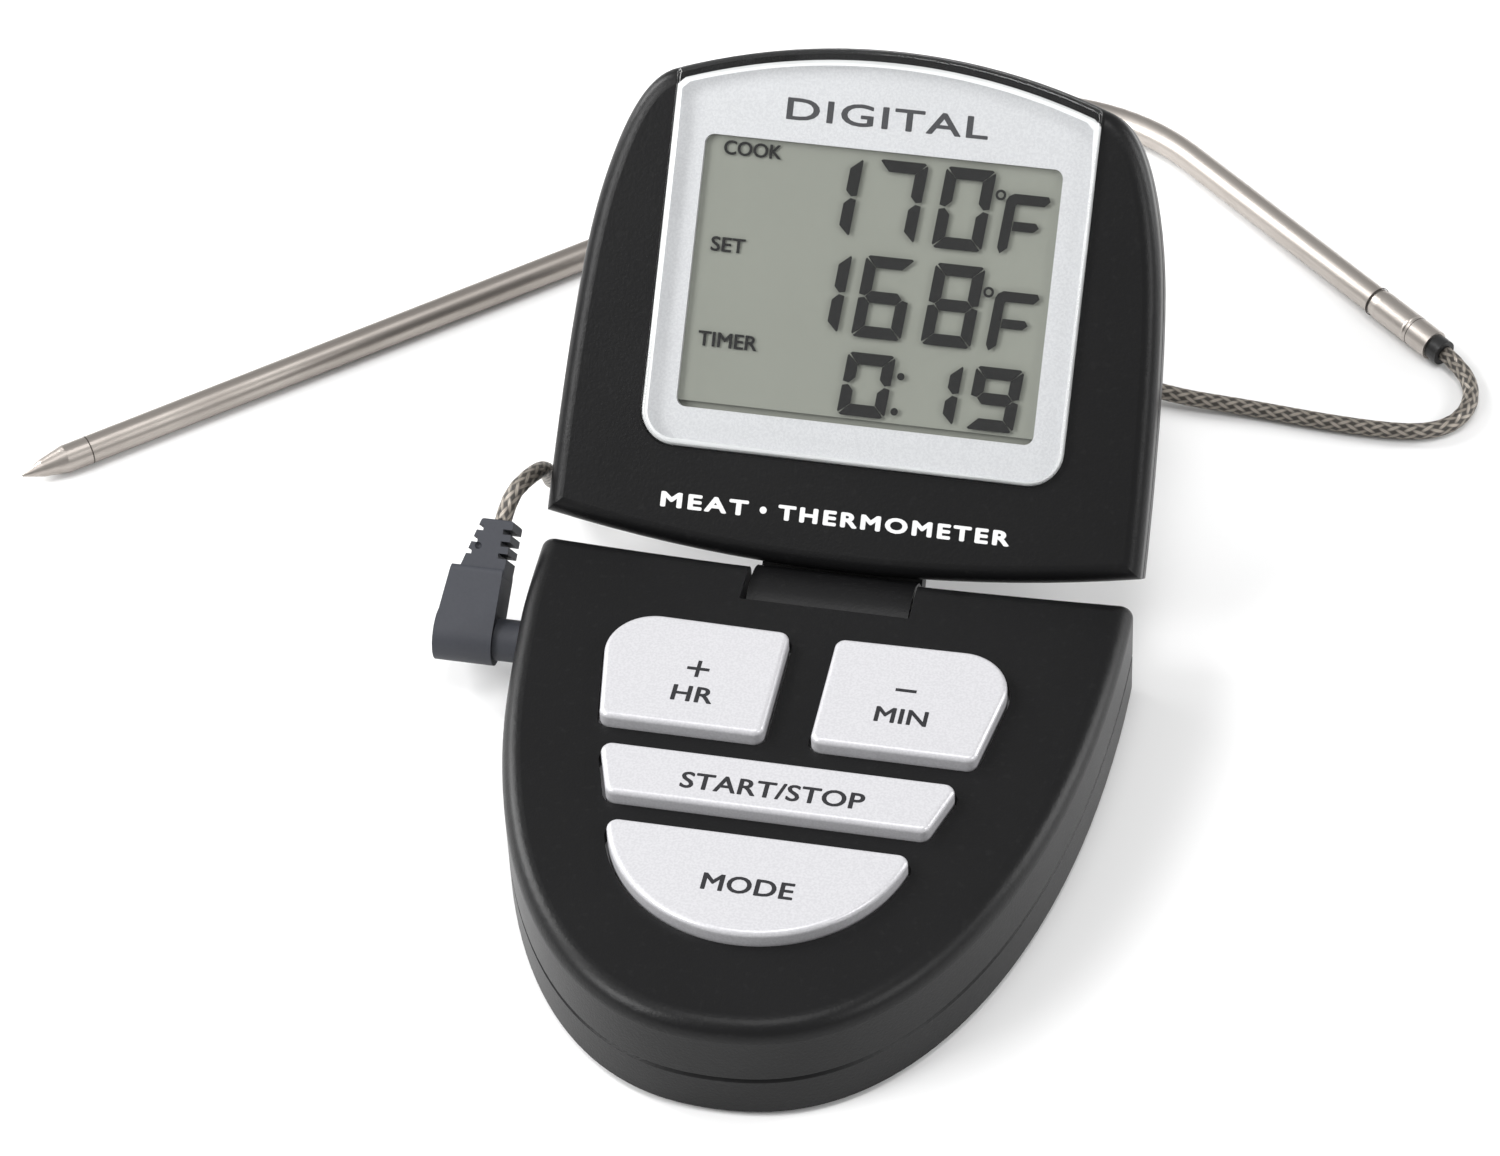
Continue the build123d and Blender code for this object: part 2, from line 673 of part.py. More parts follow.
def plug_body():
    """Right-angle rubber moulding with a stepped and slotted strain relief."""
    half = plug_half_thickness
    middle = (plug_outer_x + plug_inner_x) / 2
    width = plug_inner_x - plug_outer_x
    body = along_x(half, plug_outer_x, plug_inner_x, 0, 0)
    shoulder = make_face(Polyline(
        (plug_outer_x, 0), (plug_inner_x, 0), (plug_inner_x + 0.2, plug_body_length),
        (plug_outer_x + 1.1, plug_body_length), close=True,
    ))
    body += extrude(shoulder, amount=half, both=True)
    long_edges = body.edges().filter_by(Axis.X).sort_by(Axis.Y)[-2:]
    body = fillet(long_edges, 0.8)
    end = plug_body_length + relief_length
    left, right = plug_outer_x + 1.9, plug_inner_x + 0.2
    relief = make_face(Polyline(
        (left, plug_body_length - 1), (right, plug_body_length - 1),
        (right + 0.4, end), (left + 2.2, end), close=True,
    ))
    relief_solid = extrude(relief, amount=half - 0.5, both=True)
    body += fillet(relief_solid.faces().sort_by(Axis.Y)[-1].edges(), 0.4)
    for i in range(relief_slots):
        y = plug_body_length + 1.5 + 1.55 * i
        share = (y - plug_body_length) / relief_length
        inner_left, inner_right = left + 2.2 * share + 0.9, right + 0.4 * share - 1.1
        cut_left = block((left - 3, inner_left), (y, y + 0.65), (-half - 1, half + 1))
        cut_right = block((inner_right, right + 3), (y - 0.25, y + 0.4), (-half - 1, half + 1))
        body -= cut_left + cut_right
    body -= Pos(middle + 0.3, plug_body_length + 2.6, half - 0.5) * Sphere(0.45)
    neck_end = neck_inner_x()
    body += along_x(neck_radius, plug_inner_x - width / 2, neck_end, 0, 0)
    body -= along_x(plug_pin_radius, neck_end - 3, neck_end + 1, 0, 0)
    return plug_frame(body)


def neck_inner_x():
    return -wall_x(jack_y) + neck_entry


def plug_pin():
    start = neck_inner_x() - 3
    end = neck_inner_x() + plug_pin_length - plug_tip_length - insulator_length
    return along_x(plug_pin_radius, start, end, jack_y, jack_z)


def plug_insulator():
    end = neck_inner_x() + plug_pin_length - plug_tip_length
    return along_x(plug_pin_radius - 0.05, end - insulator_length, end, jack_y, jack_z)


def plug_tip():
    """The round nose of the jack pin, with its waist."""
    start = neck_inner_x() + plug_pin_length - plug_tip_length
    r = plug_pin_radius
    end = plug_tip_length
    profile = [(0, 0), (r, 0), (r - 0.35, 0.7), (r, 1.3), (r - 0.2, 2.2), (0.3, end), (0, end)]
    shape = revolve(make_face(Polyline(*profile, close=True)), Axis.Y)
    return Pos(start, jack_y, jack_z) * Rot(0, 0, -90) * shape


def plug_exit():
    """Middle of the strain relief's end face and the way the cord leaves it."""
    share = radians(plug_lean)
    reach = plug_body_length + relief_length
    left, right = plug_outer_x + 4.1, plug_inner_x + 0.6
    x = (left + right) / 2
    return (x, jack_y + reach * cos(share), jack_z + reach * sin(share))


def unit(start, end):
    """Unit vector from one point to another on the table, and their distance."""
    gap = (end[0] - start[0], end[1] - start[1])
    length = hypot(*gap)
    return gap[0] / length, gap[1] / length, length


def rod_point(start, end, distance):
    """A point on the way from one point to another, at the rod's height."""
    x, y, _ = unit(start, end)
    return (start[0] + distance * x, start[1] + distance * y, rod_height)


def turned_along(shape, start, end):
    """Turn a piece drawn along +X to the direction from one point to another."""
    x, y, _ = unit(start, end)
    return Rot(0, 0, degrees(atan2(y, x))) * shape


def rod_path():
    start = rod_point(probe_point, probe_elbow, tip_length)
    elbow = (probe_elbow[0], probe_elbow[1], rod_height)
    end = rod_point(probe_end, probe_elbow, sleeve_length * 0.5)
    return FilletPolyline(start, elbow, end, radius=elbow_radius)


def round_sweep(path, radius):
    """A round bar along a path."""
    plane = Plane(origin=path @ 0, z_dir=path % 0)
    return sweep(plane * Circle(radius), path=path)


def probe_tube():
    path = rod_path()
    return round_sweep(path, rod_radius) - round_sweep(path, rod_radius - rod_wall)


def probe_tip():
    """Pointed solid end with a spigot that fills the tube's mouth."""
    r = rod_radius
    profile = [(0, 0), (0, tip_blunt), (tip_cone * 0.45, r * 0.62), (tip_cone, r), (tip_length, r)]
    profile += [(tip_length, r - rod_wall), (tip_length + 3, r - rod_wall), (tip_length + 3, 0)]
    outline = make_face(Polyline(*profile, close=True))
    shape = revolve(outline, Axis.X)
    hollow = Pos(tip_length + 1.5, 0, 0) * Cylinder(bead_radius, 3, rotation=(0, 90, 0))
    shape = turned_along(shape - hollow, probe_point, probe_elbow)
    return Pos(probe_point[0], probe_point[1], rod_height) * shape


def thermistor():
    """Sensor bead in the tip's hollow, with its two leads."""
    bead = Pos(tip_length + 1.5, 0, 0) * Sphere(bead_radius - 0.1)
    lead = Pos(tip_length + 7, 0, 0) * Cylinder(0.25, 10, rotation=(0, 90, 0))
    shape = bead + Pos(0, 0.4, 0) * lead + Pos(0, -0.4, 0) * lead
    return Pos(probe_point[0], probe_point[1], rod_height) * turned_along(shape, probe_point, probe_elbow)


def probe_sleeve():
    """Crimped sleeve over the tube's end, flattened on its two sides."""
    r = sleeve_radius
    length = sleeve_length
    profile = [(0, rod_radius), (1.6, r), (length, r), (length, r - 0.35), (length * 0.5, r - 0.35)]
    profile += [(length * 0.5, rod_radius), (0, rod_radius)]
    outline = make_face(Polyline(*profile[:-1], close=True))
    sleeve = revolve(outline, Axis.X)
    shape = turned_along(sleeve, probe_elbow, probe_end)
    start = rod_point(probe_end, probe_elbow, length)
    return Pos(*start) * shape


def probe_seal():
    """Black heat-shrunk seal that closes the sleeve's mouth round the cord."""
    length = sleeve_length * 0.5 - 0.4
    inner = Cylinder(sleeve_radius - 0.35, length, rotation=(0, 90, 0))
    outer = Cylinder(seal_radius, seal_length, rotation=(0, 90, 0))
    outer = Pos(length / 2 + seal_length / 2, 0, 0) * outer
    shape = turned_along(Pos(-length / 2, 0, 0) * (inner + outer), probe_elbow, probe_end)
    return Pos(probe_end[0], probe_end[1], rod_height) * shape


def seal_exit():
    return rod_point(probe_end, probe_elbow, -seal_length)


def corner_radii(points):
    """One radius for each corner: 0.45 of its shorter run over the tangent of half the turn."""
    radii = []
    for before, corner, after in zip(points, points[1:], points[2:]):
        first = Vector(*corner) - Vector(*before)
        second = Vector(*after) - Vector(*corner)
        turn = first.get_angle(second)
        radii.append(0.45 * min(first.length, second.length) / tan(radians(turn / 2)))
    return radii


def cord_tube(name, points):
    """A round cord along straight runs and tangent arcs."""
    radii = corner_radii(points)
    runs = [(Vector(*b) - Vector(*a)).length for a, b in zip(points, points[1:])]
    path = FilletPolyline(*points, radius=radii)
    tube = round_sweep(path, cord_radius)
    expected = path.length * pi * cord_radius ** 2
    print(name, "radii", [round(r, 1) for r in radii], "runs", [round(r, 1) for r in runs])
    print(name, "length", round(path.length, 1), "volume", round(tube.volume / expected, 3))
    return tube


def plug_cord():
    return cord_tube("plug_cord", [plug_exit(), *plug_cord_points])


def probe_cord():
    return cord_tube("probe_cord", [seal_exit(), *probe_cord_points])


def cord_coil():
    """The outer shape of the loose oval coil, a ring on the table."""
    outer = Ellipse(coil_half_length + cord_radius + 0.4, coil_half_width + cord_radius + 0.4)
    inset = coil_build + cord_radius + 0.4
    inner = Ellipse(coil_half_length - inset, coil_half_width - inset)
    ring = at_height(outer - inner, 0, coil_height)
    return Pos(*coil_centre, 0) * Rot(0, 0, coil_turn) * ring


# ---- build --------------------------------------------------------------------------------
def all_nodes():
    nodes = {
        "base_lower_shell": base_lower_shell(),
        "base_upper_shell": base_upper_shell(),
        "base_screws": base_screws(),
        "hinge_pins": hinge_pins(),
        "battery_door": battery_door(),
        "battery_cell": battery_cell(),
        "battery_contacts": battery_contacts(),
        "key_circuit_board": key_circuit_board(),
        "key_membrane": key_membrane(),
        "buzzer": buzzer(),
        "buzzer_disc": buzzer_disc(),
        "probe_jack": probe_jack(),
        "base_ribbon": base_ribbon(),
    }
    for name, outline in key_outlines().items():
        nodes["key_" + name] = key_cap(name, outline)
        nodes["dome_" + name] = key_dome(name)
    head = {
        "head_front_shell": head_front_shell,
        "head_rear_shell": head_rear_shell,
        "head_screws": head_screws,
        "display_bezel": display_bezel,
        "display_lens": display_lens,
        "lcd_panel": lcd_panel,
        "lcd_holder": lcd_holder,
        "lcd_connector": lcd_connector,
        "head_circuit_board": head_circuit_board,
        "display_driver": display_driver,
        "head_ribbon": head_ribbon,
    }
    for name, make in head.items():
        nodes[name] = head_part(make())
    lead = (
        plug_body, plug_pin, plug_insulator, plug_tip, plug_cord, cord_coil, probe_cord,
        probe_tube, probe_tip, thermistor, probe_sleeve, probe_seal,
    )
    for make in lead:
        nodes[make.__name__] = make()
    return nodes


os.makedirs("parts", exist_ok=True)
for node_name, node_shape in all_nodes().items():
    export_step(node_shape, f"parts/{node_name}.step")
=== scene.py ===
import bpy
import math
import numpy as np
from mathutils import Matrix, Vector


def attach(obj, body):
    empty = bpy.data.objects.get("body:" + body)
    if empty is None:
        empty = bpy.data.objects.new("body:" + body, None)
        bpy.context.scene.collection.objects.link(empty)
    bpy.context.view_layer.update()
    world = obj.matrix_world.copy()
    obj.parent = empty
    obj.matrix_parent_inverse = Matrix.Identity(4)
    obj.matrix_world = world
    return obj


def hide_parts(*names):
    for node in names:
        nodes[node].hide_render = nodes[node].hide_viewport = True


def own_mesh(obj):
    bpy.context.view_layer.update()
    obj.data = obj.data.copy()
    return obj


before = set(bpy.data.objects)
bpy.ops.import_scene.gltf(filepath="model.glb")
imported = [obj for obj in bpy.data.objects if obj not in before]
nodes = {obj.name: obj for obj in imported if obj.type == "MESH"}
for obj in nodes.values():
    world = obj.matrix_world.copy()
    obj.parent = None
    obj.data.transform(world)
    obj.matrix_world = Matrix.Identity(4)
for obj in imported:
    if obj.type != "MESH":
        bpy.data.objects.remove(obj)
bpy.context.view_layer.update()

mm = 0.001
print("frame loaded:", len(nodes), "nodes")

# camera: a long lens, 45 degrees down on the front, 14 degrees round to the right
cameraSetup = {
    "place": (0.1021, -0.4208, 0.4851),
    "turn": (44.9003, 2.1783, 11.6748),  # degrees about X, Y and Z
    "lens": 127.2,
    "sensorWidth": 36.0,
    "clip": (0.01, 20.0),  # nearest and furthest, in m
}


def link(thing):
    bpy.context.scene.collection.objects.link(thing)


def addCamera(setup):
    data = bpy.data.cameras.new("camera")
    data.lens = setup["lens"]
    data.sensor_width = setup["sensorWidth"]
    data.clip_start, data.clip_end = setup["clip"]
    camera = bpy.data.objects.new("camera", data)
    camera.location = setup["place"]
    camera.rotation_euler = [math.radians(a) for a in setup["turn"]]
    link(camera)
    bpy.context.scene.camera = camera


addCamera(cameraSetup)
print("camera placed")


# the tilted head's own frame: X along the hinge, v up the face, w out of the face, in mm
headPlace = {"hinge": (0.0, 34.8, 7.6), "tilt": 46.5}


def onHead(x, v, w):
    # place = hinge + (x, v cos t - w sin t, v sin t + w cos t), with t the tilt
    tilt = math.radians(headPlace["tilt"])
    hx, hy, hz = headPlace["hinge"]
    x, v, w = np.broadcast_arrays(np.asarray(x, float), v, w)
    y = hy + v * math.cos(tilt) - w * math.sin(tilt)
    z = hz + v * math.sin(tilt) + w * math.cos(tilt)
    return np.stack([x + hx, y, z], axis=-1) * mm


def onTable(x, y, z):
    # the same in the table's frame: only mm to m
    x, y, z = np.broadcast_arrays(np.asarray(x, float), y, z)
    return np.stack([x, y, z], axis=-1) * mm


def newPiece(name, verts, faces, finish, body, smooth=True):
    # one mesh object at the origin, riding on a body
    mesh = bpy.data.meshes.new(name)
    mesh.from_pydata(np.asarray(verts).reshape(-1, 3).tolist(), [], [list(f) for f in faces])
    mesh.update()
    if smooth:
        mesh.shade_smooth()
    piece = bpy.data.objects.new(name, mesh)
    link(piece)
    mesh.materials.append(finish)
    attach(piece, body)
    return piece


def tubeFaces(rows, columns):
    # quads between neighbouring rings, then one face across each end
    row, column = np.meshgrid(np.arange(rows - 1), np.arange(columns), indexing="ij")
    after = (column + 1) % columns
    quads = np.stack([
        row * columns + column, row * columns + after,
        (row + 1) * columns + after, (row + 1) * columns + column,
    ], axis=-1).reshape(-1, 4)
    ends = [list(range(columns))[::-1], list(range((rows - 1) * columns, rows * columns))]
    return quads.tolist() + ends


def roundShape(x, y, radius, count):
    # (x + r cos a, y + r sin a)
    angle = np.arange(count) / count * math.tau
    return np.column_stack([x + radius * np.cos(angle), y + radius * np.sin(angle)])


def readCurve(curve):
    # a curve's or text's surface or line, as points and faces; the curve is removed
    holder = bpy.data.objects.new(curve.name, curve)
    link(holder)
    bpy.context.view_layer.update()
    mesh = bpy.data.meshes.new_from_object(holder)
    points = np.empty(len(mesh.vertices) * 3)
    mesh.vertices.foreach_get("co", points)
    faces = [list(p.vertices) for p in mesh.polygons]
    bpy.data.meshes.remove(mesh)
    bpy.data.objects.remove(holder)
    bpy.data.curves.remove(curve)
    return points.reshape(-1, 3), faces


# the lead: one smooth line from the plug, round the loose turns and on to the probe
lead = {
    "radius": 1.1,
    "plugSide": [
        (-42.85, 37.82, 16.41), (-42.45, 40.6, 18.5), (-41.0, 44.1, 18.6), (-40.2, 47.6, 17.0),
        (-40.2, 50.6, 13.9), (-41.1, 54.7, 8.4), (-42.0, 58.4, 4.3), (-41.9, 62.4, 1.9),
        (-41.0, 66.8, 1.2), (-38.8, 71.9, 1.2),
    ],
    "probeSide": [
        (14.0, 95.2, 3.3), (24.0, 92.6, 2.8), (34.5, 90.3, 1.8), (45.5, 90.2, 1.2),
        (55.0, 89.2, 1.2), (63.2, 88.8, 1.2), (68.6, 89.3, 1.2), (72.1, 91.3, 1.2),
        (73.9, 94.8, 1.2), (73.9, 98.6, 1.2), (72.2, 102.0, 1.5), (69.6, 104.08, 2.05),
    ],
    "coilCentre": (-5.0, 77.5),
    "coilHalf": (35.0, 17.0),  # outermost turn
    "coilTurn": 15.0,
    "firstAngle": 150.0,
    "lastAngle": 76.0,
    "turns": 5,
    "pointsPerTurn": 14,
    # inset of the line, and its height, at these numbers of turns
    "insetAt": ([0, 2.4, 2.8, 3.2, 5.22], [0.0, 5.6, 5.7, 4.4, 0.3]),
    "heightAt": ([0, 2.35, 2.85, 5.22], [1.2, 1.2, 3.4, 3.4]),
    "sway": (0.25, 2.3, 1.0),  # depth in mm, waves in a turn, start in radians
    "braidStrands": 6,
    "braidLay": 13.0,  # mm along the lead for one turn of a strand
    "braidRelief": 0.11,  # share of the radius
    "braidLift": 0.35,  # how much a strand rises over the one that it crosses
    "braidTop": 1.15,  # weave height that counts as full
    "columns": 30,
    "step": 0.43,  # mm between rings
    "pathEvery": 4,  # rings between the points given as its path
    "curveSteps": 12,
    "closest": 1e-7,  # m, nearer points count as one
}


def coilPoints(setup):
    # centre + turned (a cos angle, b sin angle), with a and b less the inset; angle falls with s
    whole = setup["turns"] + (setup["firstAngle"] - setup["lastAngle"]) / 360.0
    count = int(whole * setup["pointsPerTurn"]) + 1
    s = np.linspace(0, whole, count)
    angle = np.radians(setup["firstAngle"] - 360.0 * s)
    depth, waves, start = setup["sway"]
    inset = np.interp(s, *setup["insetAt"]) + depth * np.sin(waves * s * math.tau + start)
    height = np.interp(s, *setup["heightAt"])
    across = (setup["coilHalf"][0] - inset) * np.cos(angle)
    along = (setup["coilHalf"][1] - inset) * np.sin(angle)
    turn = math.radians(setup["coilTurn"])
    x = setup["coilCentre"][0] + across * math.cos(turn) - along * math.sin(turn)
    y = setup["coilCentre"][1] + across * math.sin(turn) + along * math.cos(turn)
    return np.stack([x, y, height], axis=-1)


def smoothLine(points):
    # a NURBS line of order 3 with these control points, read back as points in m
    curve = bpy.data.curves.new("leadLine", "CURVE")
    curve.dimensions = "3D"
    curve.resolution_u = lead["curveSteps"]
    spline = curve.splines.new("NURBS")
    spline.points.add(len(points) - 1)
    flat = np.column_stack([np.asarray(points) * mm, np.ones(len(points))]).ravel()
    spline.points.foreach_set("co", flat)
    spline.order_u = 3
    spline.use_endpoint_u = True
    return readCurve(curve)[0]


def evenly(line, step):
    # the same line at equal steps of its length, and the length at each
    run = np.concatenate([[0], np.cumsum(np.linalg.norm(np.diff(line, axis=0), axis=1))])
    keep = np.concatenate([[True], np.diff(run) > lead["closest"]])
    line, run = line[keep], run[keep]
    s = np.linspace(0, run[-1], max(3, int(round(run[-1] / step)) + 1))
    return np.stack([np.interp(s, run, line[:, i]) for i in range(3)], axis=-1), s


def sweptFrame(line):
    # tangent, a level side vector and their cross product at each point
    tangent = np.gradient(line, axis=0)
    tangent /= np.linalg.norm(tangent, axis=1)[:, None]
    side = np.cross(tangent, [0, 0, 1.0])
    side /= np.linalg.norm(side, axis=1)[:, None]
    return tangent, side, np.cross(side, tangent)


def braidRidges(first, second, cosine):
    # two families of ridges, (1 + cos) / 2 across each, lifted and sunk by turns like a plain weave
    lifted = lead["braidLift"] * (cosine(first * math.pi) * cosine(second * math.pi))
    ridgeOne = 0.5 + 0.5 * cosine(first * math.tau) + lifted
    ridgeTwo = 0.5 + 0.5 * cosine(second * math.tau) - lifted
    return ridgeOne, ridgeTwo


leadLine = smoothLine(np.vstack([lead["plugSide"], coilPoints(lead), lead["probeSide"]]))
leadLine, leadRun = evenly(leadLine, lead["step"] * mm)
print("lead line:", round(float(leadRun[-1]), 4), "m,", len(leadLine), "points")


class Wire:  # a node's output, so that shader maths reads as plain sums
    def __init__(self, finish, socket):
        self.finish, self.socket = finish, socket

    def maths(self, operation, first, second):
        return self.finish.node("ShaderNodeMath", {"operation": operation}, {0: first, 1: second})

    def __add__(self, other):
        return self.maths("ADD", self, other)

    def __radd__(self, other):
        return self.maths("ADD", other, self)

    def __sub__(self, other):
        return self.maths("SUBTRACT", self, other)

    def __rsub__(self, other):
        return self.maths("SUBTRACT", other, self)

    def __mul__(self, other):
        return self.maths("MULTIPLY", self, other)

    def __rmul__(self, other):
        return self.maths("MULTIPLY", other, self)

    def __pow__(self, other):
        return self.maths("POWER", self, other)

    def __gt__(self, other):
        return self.maths("GREATER_THAN", self, other)

    def larger(self, other):
        return self.maths("MAXIMUM", self, other)

    def cosine(self):
        return self.finish.node("ShaderNodeMath", {"operation": "COSINE"}, {0: self})


class Finish:  # one material: its shader's fixed values, and the nodes that vary it
    def __init__(self, name, fixed):
        self.material = bpy.data.materials.new(name)
        self.material.use_nodes = True
        self.tree = self.material.node_tree
        self.shader = self.tree.nodes["Principled BSDF"]
        for socket, value in fixed.items():
            self.shader.inputs[socket].default_value = value

    def node(self, kind, settings=None, inputs=None, output=0):
        # any node: its settings first, then its sockets' values or links
        made = self.tree.nodes.new(kind)
        for key, value in (settings or {}).items():
            setattr(made, key, value)
        for key, value in (inputs or {}).items():
            self.feed(made.inputs[key], value)
        return Wire(self, made.outputs[output])

    def feed(self, socket, value):
        if isinstance(value, Wire):
            self.tree.links.new(value.socket, socket)
        else:
            socket.default_value = value

    def give(self, socket, value):
        self.feed(self.shader.inputs[socket], value)

    def rough(self, limits, share):
        # low + (high - low) share
        low, high = limits
        self.give("Roughness", low + (high - low) * share)

    def place(self):
        return self.node("ShaderNodeTexCoord", output="Object")

    def turned(self, place, degrees=0.0, scale=(1, 1, 1)):
        # turned about Z, then stretched
        turn = self.node(
            "ShaderNodeMapping", {}, {"Vector": place, "Rotation": (0, 0, math.radians(degrees))})
        return self.node("ShaderNodeVectorMath", {"operation": "MULTIPLY"}, {0: turn, 1: scale})

    def noise(self, place, scale, detail=2.0, roughness=0.5):
        inputs = {"Vector": place, "Scale": scale, "Detail": detail, "Roughness": roughness}
        return self.node("ShaderNodeTexNoise", {}, inputs)

    def cells(self, place, scale, feature="F1"):
        return self.node("ShaderNodeTexVoronoi", {"feature": feature}, {"Vector": place, "Scale": scale})

    def blend(self, share, first, second):
        # sockets 6 and 7 and output 2 are the Mix node's colours
        return self.node("ShaderNodeMix", {"data_type": "RGBA"}, {0: share, 6: first, 7: second}, 2)

    def spread(self, wire, low, high, outLow=0.0, outHigh=1.0):
        # low to high becomes outLow to outHigh, in a straight line
        inputs = {"Value": wire, "From Min": low, "From Max": high, "To Min": outLow, "To Max": outHigh}
        return self.node("ShaderNodeMapRange", {}, inputs)

    def relief(self, height, depth, strength):
        inputs = {"Height": height, "Distance": depth, "Strength": strength}
        self.give("Normal", self.node("ShaderNodeBump", {}, inputs))


def rgb(red, green=None, blue=None):
    # one number gives a grey
    return (red, red if green is None else green, red if blue is None else blue, 1.0)


# in each finish, a noise is its scale, detail and roughness, and a relief its depth in m and strength
blackPlastic = {
    "colour": rgb(0.0048, 0.0048, 0.0052),
    "worn": rgb(0.0095, 0.0095, 0.0098),
    "wornShares": (0.35, 0.5),  # by patches and by specks
    "grain": (2600, 3, 0.65),
    "patches": (38, 3, 0.6),
    "specks": (900, 1, 0.5),
    "speckEdge": (0.62, 0.75),
    "relief": (0.00006, 0.55),
    "roughness": (0.29, 0.45),
    "roughShares": (0.6, 0.4),  # by patches and by grain
}


def makeBlackPlastic(setup):
    # spark-eroded mould grain, with broad patches where hands have smoothed it
    finish = Finish("blackPlastic", {"Specular IOR Level": 0.22})
    place = finish.place()
    grain = finish.noise(place, *setup["grain"])
    patches = finish.noise(place, *setup["patches"])
    specks = finish.spread(finish.noise(place, *setup["specks"]), *setup["speckEdge"])
    byPatch, bySpeck = setup["wornShares"]
    worn = byPatch * patches + bySpeck * specks
    finish.give("Base Color", finish.blend(worn, setup["colour"], setup["worn"]))
    byPatch, byGrain = setup["roughShares"]
    finish.rough(setup["roughness"], byPatch * patches + byGrain * grain)
    finish.relief(grain, *setup["relief"])
    return finish.material


silverPaint = {
    "colour": rgb(0.605, 0.602, 0.622),
    "shade": rgb(0.525, 0.522, 0.542),
    "flakes": (3400, 1, 0.5),
    "flakeEdge": (0.38, 0.62),
    "clouds": (120, 3, 0.5),
    "shares": (0.7, 0.3),  # of the shade, by flakes and by clouds
    "relief": (0.00001, 0.25),
    "roughness": (0.26, 0.40),
}

# the keys' silver painted lighter for the bezel: painted light, making up for the lamp light that the
# tilted face behind the lens misses
litBezelPaint = dict(silverPaint, colour=rgb(0.71, 0.708, 0.722), shade=rgb(0.62, 0.618, 0.635))


def makeSilverPaint(name, setup):
    # fine metal flakes under a satin coat, slightly uneven
    finish = Finish(name, {"Metallic": 0.22, "Specular IOR Level": 0.5})
    place = finish.place()
    flakes = finish.noise(place, *setup["flakes"])
    clouds = finish.noise(place, *setup["clouds"])
    byFlake, byCloud = setup["shares"]
    share = byFlake * finish.spread(flakes, *setup["flakeEdge"]) + byCloud * clouds
    finish.give("Base Color", finish.blend(share, setup["colour"], setup["shade"]))
    finish.rough(setup["roughness"], clouds)
    finish.relief(flakes, *setup["relief"])
    return finish.material


clearLens = {
    "headOn": 0.03,  # share mirrored when seen straight on
    "roughness": 0.02,
    "tint": rgb(0.985, 0.99, 0.99),
    "smudges": (160, 3, 0.6),
    "smudged": 0.1,  # share of the mirroring that they take away
}


def makeClearLens(setup):
    # clear to light, mirroring a share of headOn + (1 - headOn) facing^5, less at smudges
    finish = Finish("clearLens", {})
    tree = finish.tree
    smudge = finish.noise(finish.place(), *setup["smudges"])
    clear = finish.node("ShaderNodeBsdfTransparent", {}, {"Color": setup["tint"]})
    polish = finish.node("ShaderNodeBsdfGlossy", {}, {"Color": rgb(1.0), "Roughness": setup["roughness"]})
    facing = finish.node("ShaderNodeLayerWeight", {}, {"Blend": 0.5}, "Facing")
    headOn, smudged = setup["headOn"], setup["smudged"]
    share = (headOn + (1 - headOn) * facing ** 5) * (1 - smudged + smudged * smudge)
    mix = finish.node("ShaderNodeMixShader", {}, {0: share, 1: clear, 2: polish})
    tree.links.new(mix.socket, tree.nodes["Material Output"].inputs["Surface"])
    tree.nodes.remove(finish.shader)
    return finish.material


# painted highlight: a white strip where the lens's rounded edge catches the lamps
edgeGleam = {
    "colour": rgb(0.93, 0.94, 0.94),
    "streaks": (90, 2, 0.5),
    "cover": (0.372, 0.868),  # at no streak and at a full one
    "roughness": (0.2, 0.4),
}


def makeEdgeGleam(setup):
    # painted highlight for the lens's polished edge: a part-covering white, stronger in places
    finish = Finish("edgeGleam", {"Base Color": setup["colour"]})
    streak = finish.noise(finish.place(), *setup["streaks"])
    low, high = setup["cover"]
    finish.give("Alpha", low + (high - low) * streak)
    finish.rough(setup["roughness"], streak)
    return finish.material


displayGlass = {
    "colour": rgb(0.272, 0.280, 0.242),
    "shade": rgb(0.225, 0.231, 0.200),
    "clouds": (45, 2, 0.5),
    "fibres": (2400, 1, 0.5),
    "fibreStretch": (1, 0.25, 0.25),
    "shares": (0.7, 0.25),  # of the shade, by clouds and by fibres
    "relief": (0.000005, 0.3),
    "roughness": (0.42, 0.50),
}


def makeDisplayGlass(setup):
    # grey-green polariser over a matt reflector
    finish = Finish("displayGlass", {"Specular IOR Level": 0.35})
    place = finish.place()
    clouds = finish.noise(place, *setup["clouds"])
    fibre = finish.noise(finish.turned(place, scale=setup["fibreStretch"]), *setup["fibres"])
    byCloud, byFibre = setup["shares"]
    share = byCloud * clouds + byFibre * fibre
    finish.give("Base Color", finish.blend(share, setup["colour"], setup["shade"]))
    finish.rough(setup["roughness"], clouds)
    finish.relief(fibre, *setup["relief"])
    return finish.material


# inks: colour, and roughness at its least
inks = {
    "legendInk": (rgb(0.022, 0.022, 0.025), 0.5),
    "nameInk": (rgb(0.055, 0.055, 0.06), 0.5),
    "whiteInk": (rgb(0.86), 0.5),
    "probeJoint": (rgb(0.05, 0.042, 0.036), 0.5),
    "displayInk": (rgb(0.004, 0.004, 0.0038), 0.6),
}
inkSetup = {"spots": (1800, 2, 0.5), "darker": 0.8, "rougher": 0.1}


def makeInk(name, colour, roughness):
    # printed ink, slightly uneven in colour and gloss
    finish = Finish(name, {"Specular IOR Level": 0.25})
    spots = finish.noise(finish.place(), *inkSetup["spots"])
    dark = rgb(*(c * inkSetup["darker"] for c in colour[:3]))
    finish.give("Base Color", finish.blend(spots, colour, dark))
    finish.rough((roughness, roughness + inkSetup["rougher"]), spots)
    return finish.material


